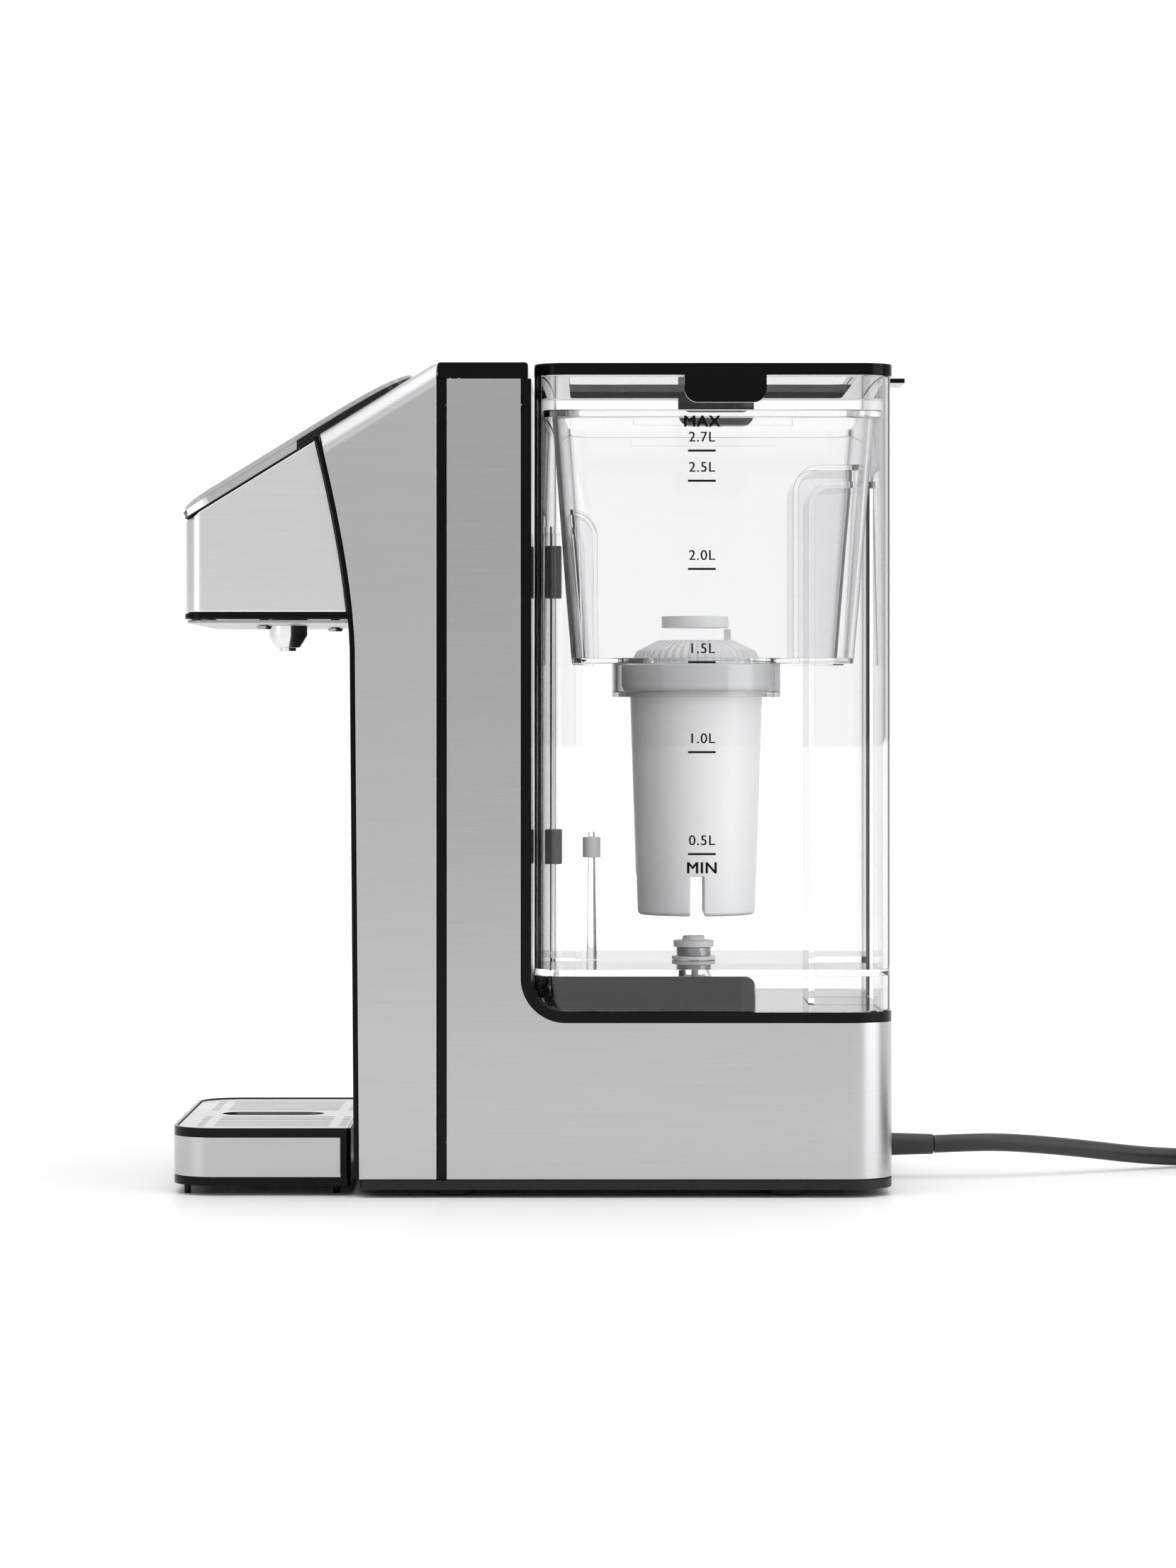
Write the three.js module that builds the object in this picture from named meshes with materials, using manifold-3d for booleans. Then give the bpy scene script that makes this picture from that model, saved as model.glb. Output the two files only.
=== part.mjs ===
// Countertop hot-water dispenser with a lift-off filter tank, a drip tray and a mains lead.
// Millimetres, +Z up. The tap and the tray face -Y and the tank stands at +Y.
// While it is built, y = 0 is the plane where the tank meets the tower; the last lines centre it.
import * as THREE from "three";
import { mergeVertices } from "three/addons/utils/BufferGeometryUtils.js";
import Module from "manifold-3d";

const wasm = await Module();
wasm.setup();

// ---------------------------------------------------------------- driving dimensions
const BODY_WIDTH = 150; // base and tower, across
const TOTAL_HEIGHT = 315; // floor to the top of the lid
const BASE_BACK = 136.2; // rear face of the base
const BASE_TOP = 66; // upper edge of the steel round the base
const FOOT_HEIGHT = 3;
const PLATE = 3.7; // base plate thickness
const SHEET = 1.2; // stainless cladding
const GAP = 0.3; // between pieces that touch
const CORNER = 17; // rear vertical corners of the base

const WING_BACK = -36.4; // where the satin wings end
const WING_FOOT = -65.6; // front edge of the wings at the floor
const WAIST_BELOW_HEAD = 10.6; // the wings' edge starts to lean forward this far under the head
const WING_TOP = -80.5; // front edge of the wings at the slope
const WING_SHEET = 3.5;
const SHOULDER = 8.4; // round upper edge of the wings
const CLAD_FRONT = -32.6; // front edge of the tower's side cladding
const CLAD_BACK = -4.6; // rear edge of it
const CRADLE = 3.6; // black liner that follows the cladding's L-shaped edge
const CRADLE_BEND = 17;
const CAP_HEIGHT = 5.9;

const HEAD_INSET = 5; // each side of the head stands in from the body
const HEAD_FRONT = -132;
const HEAD_CORNER = 8;
const HEAD_BELOW_TOP = 97.6; // lid level down to the head's underside
const HEAD_EDGE_BELOW_TOP = 59.2; // lid level down to the top of the head's front face
const SLOPE = THREE.MathUtils.degToRad(31.6);
const WING_PROUD = 1; // how far the wings' rolled edge stands above the head's slope
const PANEL_INSET = 4.5; // each side of the panel stands in from the head
const PANEL_LENGTH = 103.5;
const BEZEL_TOP = 3.5; // above the slope
const GLASS = 1.8;
const NOZZLE_Y = -97.7;
const NOZZLE_RADIUS = 7.9;
const NOZZLE_DROP = 10.4; // head's underside down to the tip

const TRAY_FRONT = -137.4;
const TRAY_BACK = -69.2;
const TRAY_INSET = 7; // each side of the tray stands in from the body
const TRAY_TOP = 25.7;
const TRAY_CORNER = 17;
const TRAY_WALL = 2.4;
const SLOT_ROWS = 14;
const SLOT_LONG = 44;
const SLOT_WIDTH = 1.7;
const SLOT_SHORT = 2.8;

const TANK_INSET = 4; // each side of the tank stands in from the body
const TANK_BACK_INSET = 0.7; // the tank's back stands in from the base's
const TANK_WALL = 2.5;
const TANK_CORNER = 12;
const TANK_SKIRT = 13; // hollow under the tank's floor
const GRIP_WIDTH = 44; // finger channel in the tank's back
const GRIP_DEPTH = 27;
const GRIP_BELOW_TOP = 40.2; // rim of the tank down to the top of that channel
const SENSOR_WIDTH = 23; // channel in the tank's front
const SENSOR_DEPTH = 15.2;
const SENSOR_BELOW_TOP = 57.2;
const CHANNEL_CORNER = 6; // rounding of both channels inside the tank
const LID = 4.5;
const LID_TAB_WIDTH = 31;
const LID_TAB_DROP = 10.5;
const THUMB_TAB = 8; // how far the lid's rear tab stands out

const HOPPER_WALL = 2;
const HOPPER_FLANGE = 2.7;
const HOPPER_DROP = 12.6; // rim of the tank to the top of the hopper's flange
const HOPPER_DEPTH = 95.9; // top of the flange to the underside of the hopper's floor
const HOPPER_TAPER = 0.87;
const FILTER_Y = 63;
const FILTER_TOP_RADIUS = 26;
const FILTER_FOOT_RADIUS = 23.3;
const FILTER_BODY = 98;
const FILTER_COLLAR = 3.4; // how far the cartridge's collar stands out
const CUP_ROOM = 1.8; // between that collar and the cup's wall
const CUP_DEPTH = 12.7;
const VALVE_Y = 62;

const CORD = 7; // mains lead diameter
const CORD_EXIT_X = 0;
const CORD_EXIT_Z = 13.2;
const SLEEVE_RADIUS = 4.5; // of the strain relief at the wall
const SLEEVE_LENGTH = 20;
const COIL_X = -9.5;
const COIL_Y = 308;
const COIL_INNER = 30.2;
const COIL_OUTER = 45.2;
const PLUG_RADIUS = 18;

// ---------------------------------------------------------------- places worked out from them
const HEAD_WIDTH = BODY_WIDTH - 2 * HEAD_INSET;
const PANEL_WIDTH = HEAD_WIDTH - 2 * PANEL_INSET;
const TRAY_WIDTH = BODY_WIDTH - 2 * TRAY_INSET;
const TANK_WIDTH = BODY_WIDTH - 2 * TANK_INSET;
const TANK_BACK = BASE_BACK - TANK_BACK_INSET;
const HEAD_BOTTOM = TOTAL_HEIGHT - HEAD_BELOW_TOP;
const HEAD_EDGE = TOTAL_HEIGHT - HEAD_EDGE_BELOW_TOP;
const WING_WAIST = HEAD_BOTTOM - WAIST_BELOW_HEAD;
const CUP_RADIUS = FILTER_TOP_RADIUS + FILTER_COLLAR + CUP_ROOM + HOPPER_WALL;
const PLATE_TOP = FOOT_HEIGHT + PLATE;
const CLAD_BOTTOM = PLATE_TOP + GAP;
const CAP_BOTTOM = TOTAL_HEIGHT - CAP_HEIGHT;
const DECK_TOP = BASE_TOP + GAP + CRADLE;
const TANK_FRONT = GAP;
const TANK_BOTTOM = DECK_TOP + GAP;
const TANK_FLOOR_UNDER = TANK_BOTTOM + TANK_SKIRT;
const TANK_FLOOR = TANK_FLOOR_UNDER + TANK_WALL;
const TANK_TOP = TOTAL_HEIGHT - LID - GAP;
const TANK_MIDDLE = (TANK_FRONT + TANK_BACK) / 2;
const LID_TAB_Y = TANK_MIDDLE + 4.7;
const GRIP_TOP = TANK_TOP - GRIP_BELOW_TOP;
const SENSOR_TOP = TANK_TOP - SENSOR_BELOW_TOP;
const FLANGE_TOP = TANK_TOP - HOPPER_DROP;
const FLANGE_BOTTOM = FLANGE_TOP - HOPPER_FLANGE;
const HOPPER_BOTTOM = FLANGE_TOP - HOPPER_DEPTH;
const CUP_BOTTOM = HOPPER_BOTTOM - CUP_DEPTH;
const FILTER_BOTTOM = HOPPER_BOTTOM - FILTER_BODY;
const HEAD_SKIN_BOTTOM = HEAD_BOTTOM + 3.5;
const CENTRE_Y = (TRAY_FRONT + BASE_BACK + THUMB_TAB) / 2;

// ---------------------------------------------------------------- materials
const finish = (color, roughness, metalness, opacity = 1) =>
  new THREE.MeshStandardMaterial({ color, roughness, metalness, opacity, transparent: opacity < 1 });
const STEEL = finish(0xc4c6c8, 0.34, 1);
const SATIN = finish(0xb9bbbd, 0.42, 0.9);
const CHROME = finish(0xe4e6e8, 0.08, 1);
const BLACK_GLOSS = finish(0x0b0b0c, 0.12, 0);
const BLACK_PLASTIC = finish(0x1a1b1c, 0.45, 0);
const SILVER_PLASTIC = finish(0xc9cbcd, 0.35, 0.2);
const CLEAR = finish(0xeef1f3, 0.04, 0, 0.3);
const WHITE_PLASTIC = finish(0xe6e8ea, 0.4, 0);
const GREY_PLASTIC = finish(0x8d9194, 0.5, 0);
const RUBBER = finish(0x141414, 0.8, 0);
const SILICONE = finish(0xe9e6df, 0.5, 0, 0.8);
const BOARD = finish(0x1f5a3a, 0.5, 0);
const BRASS = finish(0xb88a3c, 0.3, 1);

// ---------------------------------------------------------------- joining and cutting
function solidOf(geometry) {
  const bare = geometry.index ? geometry.toNonIndexed() : geometry.clone();
  bare.deleteAttribute("normal");
  bare.deleteAttribute("uv");
  const merged = mergeVertices(bare, 1e-4);
  const vertProperties = merged.attributes.position.array;
  const triVerts = new Uint32Array(merged.index.array);
  return new wasm.Manifold(new wasm.Mesh({ numProp: 3, vertProperties, triVerts }));
}

function geometryOf(solid) {
  const mesh = solid.getMesh();
  const geometry = new THREE.BufferGeometry();
  geometry.setAttribute("position", new THREE.BufferAttribute(mesh.vertProperties, 3));
  geometry.setIndex(new THREE.BufferAttribute(mesh.triVerts, 1));
  return geometry;
}

function cut(body, ...tools) {
  return geometryOf(tools.reduce((left, tool) => left.subtract(solidOf(tool)), solidOf(body)));
}

function join(...pieces) {
  return geometryOf(pieces.slice(1).reduce((all, piece) => all.add(solidOf(piece)), solidOf(pieces[0])));
}

function overlapOf(a, b) {
  return geometryOf(solidOf(a).intersect(solidOf(b)));
}

// ---------------------------------------------------------------- simple shapes
// A rectangle with its own radius at each corner: low-left, low-right, high-right, high-left.
function roundedRect(x0, y0, x1, y1, radii) {
  const [a, b, c, d] = radii.length ? radii : [radii, radii, radii, radii];
  const shape = new THREE.Shape();
  shape.moveTo(x0 + a, y0);
  shape.lineTo(x1 - b, y0);
  if (b > 0) shape.absarc(x1 - b, y0 + b, b, -Math.PI / 2, 0, false);
  shape.lineTo(x1, y1 - c);
  if (c > 0) shape.absarc(x1 - c, y1 - c, c, 0, Math.PI / 2, false);
  shape.lineTo(x0 + d, y1);
  if (d > 0) shape.absarc(x0 + d, y1 - d, d, Math.PI / 2, Math.PI, false);
  shape.lineTo(x0, y0 + a);
  if (a > 0) shape.absarc(x0 + a, y0 + a, a, Math.PI, 1.5 * Math.PI, false);
  return shape;
}

function upright(shape, z0, z1, curveSegments = 6) {
  const geometry = new THREE.ExtrudeGeometry(shape, { depth: z1 - z0, bevelEnabled: false, curveSegments });
  return geometry.translate(0, 0, z0);
}

// A side outline, drawn in (y, z), carried from x0 to x1.
function across(shape, x0, x1, curveSegments = 6) {
  const geometry = new THREE.ExtrudeGeometry(shape, { depth: x1 - x0, bevelEnabled: false, curveSegments });
  const turn = new THREE.Matrix4().set(0, 0, 1, x0, 1, 0, 0, 0, 0, 1, 0, 0, 0, 0, 0, 1);
  return geometry.applyMatrix4(turn);
}

function block(x0, x1, y0, y1, z0, z1) {
  const geometry = new THREE.BoxGeometry(x1 - x0, y1 - y0, z1 - z0);
  return geometry.translate((x0 + x1) / 2, (y0 + y1) / 2, (z0 + z1) / 2);
}

// A turned piece about a vertical axis at (x, y); the profile is [radius, z] from bottom to top.
function turned(profile, x, y, segments = 24) {
  const points = profile.map(([radius, z]) => new THREE.Vector2(radius, z));
  const geometry = new THREE.LatheGeometry(points, segments);
  return geometry.rotateX(Math.PI / 2).translate(x, y, 0);
}

function rod(radius, z0, z1, x, y, segments = 16) {
  return turned([[0, z0], [radius, z0], [radius, z1], [0, z1]], x, y, segments);
}

function rodAlongY(radius, y0, y1, x, z, segments = 20) {
  return new THREE.CylinderGeometry(radius, radius, y1 - y0, segments).translate(x, (y0 + y1) / 2, z);
}

function ring(inner, outer, z0, z1, x, y, segments = 24) {
  return turned([[inner, z0], [outer, z0], [outer, z1], [inner, z1], [inner, z0]], x, y, segments);
}

// A round tube or lead that follows a smooth curve through the points.
function hose(points, radius, steps, sides = 8) {
  const section = new THREE.Shape();
  section.absarc(0, 0, radius, 0, 2 * Math.PI, false);
  const path = new THREE.CatmullRomCurve3(points.map((p) => new THREE.Vector3(...p)), false, "centripetal");
  return new THREE.ExtrudeGeometry(section, { steps, extrudePath: path, curveSegments: sides / 2 });
}

// Local (x, along the slope, away from it) to the model's frame; the origin is the head's top edge.
function onSlope(geometry) {
  return geometry.rotateX(SLOPE).translate(0, HEAD_FRONT, HEAD_EDGE);
}

function alongSlope(y) {
  return (y - HEAD_FRONT) / Math.cos(SLOPE);
}

// Draws a plan outline in towards the tank's middle as it goes down from z1 to z0.
function taper(geometry, z0, z1, scaleLow) {
  const position = geometry.attributes.position;
  for (let i = 0; i < position.count; i += 1) {
    const scale = scaleLow + ((1 - scaleLow) * (position.getZ(i) - z0)) / (z1 - z0);
    position.setX(i, position.getX(i) * scale);
    position.setY(i, TANK_MIDDLE + (position.getY(i) - TANK_MIDDLE) * scale);
  }
  return geometry;
}

const model = new THREE.Group();

function add(name, geometry, material) {
  const mesh = new THREE.Mesh(geometry, material);
  mesh.name = name;
  model.add(mesh);
}

// ---------------------------------------------------------------- base
const halfBody = BODY_WIDTH / 2;

function bodyPlan(y0, inset = 0, frontRadius = 0) {
  const rear = CORNER - inset;
  const side = halfBody - inset;
  return roundedRect(-side, y0, side, BASE_BACK - inset, [frontRadius, frontRadius, rear, rear]);
}

const screwPlaces = [
  [-halfBody + 17, WING_FOOT + 22],
  [halfBody - 17, WING_FOOT + 22],
  [-halfBody + 17, BASE_BACK - 24],
  [halfBody - 17, BASE_BACK - 24],
];
const SCREW_RADIUS = 1.8;
const SCREW_HEAD = 3.6;
const SCREW_HEAD_DEPTH = 1.6;
const POST_RADIUS = 5;
const FOOT_OUT = 2; // feet stand this far outside the screws
const FOOT_BEHIND = 13; // behind the front screws
const FOOT_AHEAD = 16; // in front of the rear ones

function basePlate() {
  let plate = upright(bodyPlan(WING_FOOT, 0, 4), FOOT_HEIGHT, PLATE_TOP);
  for (const [x, y] of screwPlaces) {
    const head = rod(SCREW_HEAD + GAP, FOOT_HEIGHT - 1, FOOT_HEIGHT + SCREW_HEAD_DEPTH + GAP, x, y);
    const shank = rod(SCREW_RADIUS + GAP, FOOT_HEIGHT - 1, PLATE_TOP + 1, x, y, 10);
    plate = cut(plate, head, shank);
  }
  return plate;
}

function screw(x, y) {
  const top = PLATE_TOP + 9;
  const low = FOOT_HEIGHT + GAP;
  const neck = low + SCREW_HEAD_DEPTH - GAP;
  const head = [[0, low], [SCREW_HEAD, low], [SCREW_HEAD, neck]];
  return turned([...head, [SCREW_RADIUS, neck], [SCREW_RADIUS, top], [0, top]], x, y, 10);
}

function foot(x, y) {
  const top = FOOT_HEIGHT - 0.2;
  return turned([[0, 0], [6.4, 0], [7, 0.6], [7, top], [0, top]], x, y, 14);
}

// The L-shaped edge of the steel, and lines parallel to it towards the tank.
function cladOutline(offset, top) {
  const shape = new THREE.Shape();
  const back = CLAD_BACK + offset;
  const level = BASE_TOP + offset;
  const bend = CRADLE_BEND - offset;
  shape.moveTo(back, top);
  shape.lineTo(back, level + bend);
  shape.absarc(back + bend, level + bend, bend, Math.PI, 1.5 * Math.PI, false);
  shape.lineTo(BASE_BACK + 1, level);
  return shape;
}

function outerWrap() {
  const whole = upright(bodyPlan(CLAD_FRONT), CLAD_BOTTOM, CAP_BOTTOM - GAP, 8);
  const hollow = upright(bodyPlan(CLAD_FRONT - 9, SHEET), CLAD_BOTTOM - 1, CAP_BOTTOM + 1, 8);
  const tankSide = cladOutline(0, CAP_BOTTOM + 1);
  tankSide.lineTo(BASE_BACK + 1, CAP_BOTTOM + 1);
  const tankSpace = across(tankSide, -halfBody - 1, halfBody + 1, 8);
  const gland = rodAlongY(SLEEVE_RADIUS + GAP, BASE_BACK - 6, BASE_BACK + 6, CORD_EXIT_X, CORD_EXIT_Z);
  return cut(whole, hollow, tankSpace, gland);
}

// The black moulding between the steel and the tank: tower back, bend and deck in one, with screw posts.
function cradle() {
  const top = CAP_BOTTOM - GAP;
  const band = cladOutline(GAP, top);
  const inner = cladOutline(GAP + CRADLE, top);
  band.lineTo(BASE_BACK + 1, DECK_TOP);
  for (const point of inner.getPoints(8).reverse()) band.lineTo(point.x, point.y);
  const strip = across(band, -halfBody, halfBody, 8);
  const plan = upright(bodyPlan(CLAD_BACK - 1), BASE_TOP - 1, top + 1, 8);
  let body = overlapOf(strip, plan);
  for (const [x, y] of screwPlaces.slice(2)) {
    body = join(body, rod(POST_RADIUS, PLATE_TOP + GAP, BASE_TOP + 1.5, x, y));
    body = cut(body, rod(SCREW_RADIUS + GAP, PLATE_TOP - 1, PLATE_TOP + 12, x, y, 12));
  }
  const slot = roundedRect(-4, VALVE_Y - 30, 4, VALVE_Y - 16, 3);
  return cut(body, upright(slot, BASE_TOP - 1, DECK_TOP + 1));
}

add("base_plate", basePlate(), BLACK_PLASTIC);
["front_left", "front_right", "rear_left", "rear_right"].forEach((corner, i) => {
  const [x, y] = screwPlaces[i];
  add(`foot_${corner}`, foot(x + Math.sign(x) * FOOT_OUT, y + (i < 2 ? FOOT_BEHIND : -FOOT_AHEAD)), RUBBER);
  add(`base_screw_${corner}`, screw(x, y), STEEL);
});
add("steel_wrap", outerWrap(), STEEL);
add("tank_cradle", cradle(), BLACK_GLOSS);

// ---------------------------------------------------------------- tower
// The wings' front edge in (y, z), shifted along y, drawn upwards from the floor end.
function wingEdge(shape, shift, bottom) {
  shape.lineTo(WING_FOOT + shift, bottom);
  shape.lineTo(WING_FOOT - 1.6 + shift, WING_WAIST);
  const top = HEAD_EDGE + Math.tan(SLOPE) * (WING_TOP - HEAD_FRONT);
  const rise = (top - WING_WAIST) / 3;
  shape.bezierCurveTo(
    WING_FOOT - 2.4 + shift, WING_WAIST + rise * 0.93,
    WING_TOP + 6.3 + shift, top - rise * 0.96,
    WING_TOP + shift, top,
  );
}

function wingOutline(high) {
  const shape = new THREE.Shape();
  shape.moveTo(WING_BACK, CLAD_BOTTOM);
  wingEdge(shape, 0, CLAD_BOTTOM);
  shape.lineTo(WING_TOP - 4, high);
  shape.lineTo(WING_BACK, high);
  return shape;
}

// One satin side of the tower: an upright sheet that rolls inwards along the slope.
function wing(side) {
  const out = halfBody;
  const top = TOTAL_HEIGHT - 0.4;
  const inside = out - WING_SHEET;
  const roll = out - SHOULDER;
  const section = new THREE.Shape();
  section.moveTo(out, -TOTAL_HEIGHT * 1.4);
  section.lineTo(out, -SHOULDER);
  section.absarc(roll, -SHOULDER, SHOULDER, 0, Math.PI / 2, false);
  section.lineTo(roll, -WING_SHEET);
  section.absarc(roll, -SHOULDER, SHOULDER - WING_SHEET, Math.PI / 2, 0, true);
  section.lineTo(inside, -TOTAL_HEIGHT * 1.4);
  const options = { depth: TOTAL_HEIGHT * 2, bevelEnabled: false, curveSegments: 6 };
  const long = new THREE.ExtrudeGeometry(section, options);
  long.rotateX(Math.PI / 2).translate(0, TOTAL_HEIGHT * 1.5, WING_PROUD);
  const sheet = overlapOf(onSlope(long), across(wingOutline(top), roll - 2, out + 2, 10));
  return side > 0 ? sheet : mirrored(sheet);
}

// The same piece on the left-hand side, with its faces turned back out.
function mirrored(geometry) {
  const flat = geometry.index ? geometry.toNonIndexed() : geometry.clone();
  const position = flat.attributes.position;
  for (let i = 0; i < position.count; i += 3) {
    const [ax, ay, az] = [position.getX(i), position.getY(i), position.getZ(i)];
    position.setXYZ(i, -position.getX(i + 1), position.getY(i + 1), position.getZ(i + 1));
    position.setXYZ(i + 1, -ax, ay, az);
    position.setX(i + 2, -position.getX(i + 2));
  }
  return flat;
}

// The black front wall between the wings, with narrow arms that climb beside the head and two screw posts.
function towerFront() {
  const shape = new THREE.Shape();
  shape.moveTo(WING_FOOT - GAP, CLAD_BOTTOM);
  wingEdge(shape, -GAP, CLAD_BOTTOM);
  const front = new THREE.Shape();
  front.moveTo(WING_FOOT - 2, CLAD_BOTTOM);
  wingEdge(front, -2, CLAD_BOTTOM);
  for (const point of front.getPoints(10).reverse()) shape.lineTo(point.x, point.y);
  const wall = across(shape, -halfBody + 0.4, halfBody - 0.4, 10);
  const headHole = HEAD_WIDTH / 2 + 0.4;
  const hole = block(-headHole, headHole, WING_TOP - 20, WING_FOOT + 20, HEAD_BOTTOM - 1, TOTAL_HEIGHT + 9);
  let body = cut(wall, hole);
  const postTop = PLATE_TOP + 20;
  for (const [x, y] of screwPlaces.slice(0, 2)) {
    const web = block(x - 1.5, x + 1.5, WING_FOOT - 1, y, PLATE_TOP + GAP, postTop);
    body = join(body, web, rod(POST_RADIUS, PLATE_TOP + GAP, postTop, x, y));
    body = cut(body, rod(SCREW_RADIUS + GAP, PLATE_TOP - 1, PLATE_TOP + 12, x, y, 12));
  }
  return body;
}

// The black strip that fills the joint between a wing and the side cladding.
function jointStrip(side) {
  const [x0, x1] = side > 0 ? [halfBody - 3, halfBody - 0.2] : [-halfBody + 0.2, -halfBody + 3];
  return block(x0, x1, WING_BACK + GAP, CLAD_FRONT - GAP, CLAD_BOTTOM, CAP_BOTTOM - GAP);
}

function topCap() {
  const shape = roundedRect(WING_BACK + GAP, CAP_BOTTOM, -1.9, TOTAL_HEIGHT, [0.4, 0.4, 1.2, 1.2]);
  const cap = across(shape, -halfBody, halfBody, 4);
  const inside = roundedRect(-halfBody + 4, WING_BACK + 3, halfBody - 4, -6, 1);
  return cut(cap, upright(inside, CAP_BOTTOM - 1, TOTAL_HEIGHT - 2.2));
}

add("tower_front", towerFront(), BLACK_GLOSS);
add("wing_left", wing(-1), SATIN);
add("wing_right", wing(1), SATIN);
add("joint_strip_left", jointStrip(-1), BLACK_GLOSS);
add("joint_strip_right", jointStrip(1), BLACK_GLOSS);
add("top_cap", topCap(), BLACK_GLOSS);

// ---------------------------------------------------------------- head, control panel and spout
const halfHead = HEAD_WIDTH / 2;
const headBack = WING_FOOT - 2.6;

function headPlan(inset, back) {
  const corner = HEAD_CORNER - inset;
  const side = halfHead - inset;
  return roundedRect(-side, HEAD_FRONT + inset, side, back, [corner, corner, 0, 0]);
}

function belowSlope(margin) {
  const far = TOTAL_HEIGHT * 1.5;
  return onSlope(block(-halfBody * 2, halfBody * 2, -far, far, -far, -margin));
}

function inFrontOfWings(shift) {
  const shape = new THREE.Shape();
  shape.moveTo(HEAD_FRONT - 30, CLAD_BOTTOM);
  wingEdge(shape, shift, CLAD_BOTTOM);
  shape.lineTo(WING_TOP + shift - 4, TOTAL_HEIGHT + 20);
  shape.lineTo(HEAD_FRONT - 30, TOTAL_HEIGHT + 20);
  return across(shape, -halfBody, halfBody, 10);
}

function headShell() {
  const whole = upright(headPlan(0, headBack + 6), HEAD_SKIN_BOTTOM, TOTAL_HEIGHT, 8);
  const hollow = upright(headPlan(SHEET, headBack + 20), HEAD_SKIN_BOTTOM - 1, TOTAL_HEIGHT + 1, 8);
  return overlapOf(overlapOf(cut(whole, hollow), belowSlope(GAP)), inFrontOfWings(-2.3));
}

function headBand() {
  const body = upright(headPlan(-0.3, headBack), HEAD_BOTTOM + 0.9, HEAD_SKIN_BOTTOM - GAP, 8);
  return cut(body, upright(headPlan(2.2, headBack - 3), HEAD_BOTTOM, HEAD_SKIN_BOTTOM + 1, 8));
}

const spoutScrews = [
  [26, -105],
  [-26, -80.5],
];

function headPan() {
  let pan = upright(headPlan(0.6, headBack - 0.4), HEAD_BOTTOM - 0.6, HEAD_BOTTOM + 0.6, 8);
  pan = cut(pan, rod(NOZZLE_RADIUS + GAP, HEAD_BOTTOM - 2, HEAD_BOTTOM + 2, 0, NOZZLE_Y, 24));
  for (const [x, y] of spoutScrews) pan = cut(pan, rod(2.1, HEAD_BOTTOM - 2, HEAD_BOTTOM + 2, x, y, 12));
  return pan;
}

function spoutScrew(x, y) {
  const low = HEAD_BOTTOM - 2.2;
  const seat = HEAD_BOTTOM - 0.9;
  const top = HEAD_BOTTOM + 6;
  return turned([[0, low], [2.6, low], [3.2, seat], [1.8, seat], [1.8, top], [0, top]], x, y, 12);
}

function nozzle() {
  const tip = HEAD_BOTTOM - NOZZLE_DROP;
  const outer = NOZZLE_RADIUS;
  const bore = NOZZLE_RADIUS - 2;
  const outside = [[3.4, tip], [3.4, tip + 1.3], [4.9, tip + 1.3], [outer, tip + 6.2], [outer, HEAD_BOTTOM + 8]];
  const inside = [[bore, HEAD_BOTTOM + 8], [bore, tip + 6.4], [2.2, tip + 2.6], [2.2, tip], [3.4, tip]];
  return turned([...outside, ...inside], 0, NOZZLE_Y, 24);
}

const panelStart = 0.6;

function headDeck() {
  const wide = halfHead - 0.2;
  const narrow = halfBody - SHOULDER - GAP;
  const wingStart = alongSlope(WING_TOP) - 3.2;
  const low = onSlope(block(-halfHead + 1.6, halfHead - 1.6, HEAD_CORNER + 2, wingStart, -2.6, 0.1));
  const lip = onSlope(block(-wide, wide, panelStart, wingStart, 0, 0.5));
  const upper = onSlope(block(-narrow, narrow, wingStart - 2, alongSlope(WING_BACK) - 2, -2.6, 0.5));
  return join(low, lip, upper);
}

function panelOutline(inset) {
  const side = PANEL_WIDTH / 2 - inset;
  const [front, back] = [12 - inset, 14 - inset];
  return roundedRect(-side, inset, side, PANEL_LENGTH - inset, [front, front, back, back]);
}

// The side view of a layer of the panel: it dips at the upper end, and a nose rises at the front.
function panelLayer(low, lowEnd, high, highEnd, nose) {
  const dip = PANEL_LENGTH - 36;
  const shape = new THREE.Shape();
  shape.moveTo(-1, low);
  shape.lineTo(-1, high - nose);
  shape.quadraticCurveTo(5, high, 15, high);
  shape.lineTo(dip, high);
  shape.quadraticCurveTo(PANEL_LENGTH - 12, high, PANEL_LENGTH, highEnd);
  shape.lineTo(PANEL_LENGTH, lowEnd);
  shape.quadraticCurveTo(PANEL_LENGTH - 12, low, dip, low);
  return across(shape, -PANEL_WIDTH, PANEL_WIDTH, 8);
}

function panelBezel() {
  const layer = panelLayer(0.7, 0.7, BEZEL_TOP, 1.5, 0);
  return onSlope(overlapOf(layer, upright(panelOutline(0), 0, BEZEL_TOP + GLASS, 8)));
}

function panelGlass() {
  const low = BEZEL_TOP + 0.2;
  const layer = panelLayer(low, 1.7, low + GLASS, 2.7, 1.2);
  return onSlope(overlapOf(layer, upright(panelOutline(1.4), 0, low + GLASS + 1, 8)));
}

function controlBoard() {
  return onSlope(block(-48, 48, 14, 86, -9, -7.4));
}

add("head_shell", headShell(), STEEL);
add("head_band", headBand(), BLACK_GLOSS);
add("head_pan", headPan(), SILVER_PLASTIC);
spoutScrews.forEach(([x, y], i) => add(`spout_screw_${i + 1}`, spoutScrew(x, y), STEEL));
add("nozzle", nozzle(), CHROME);
add("head_deck", headDeck(), BLACK_PLASTIC);
add("panel_bezel", panelBezel(), CHROME);
add("panel_glass", panelGlass(), BLACK_GLOSS);
add("control_board", controlBoard(), BOARD);

// ---------------------------------------------------------------- water path and electrics
const HEATER_Y = -40;
const HEATER_LOW = 92;
const HEATER_HIGH = 196;
const PUMP_Y = 11;
const PUMP_Z = 34;

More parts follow.
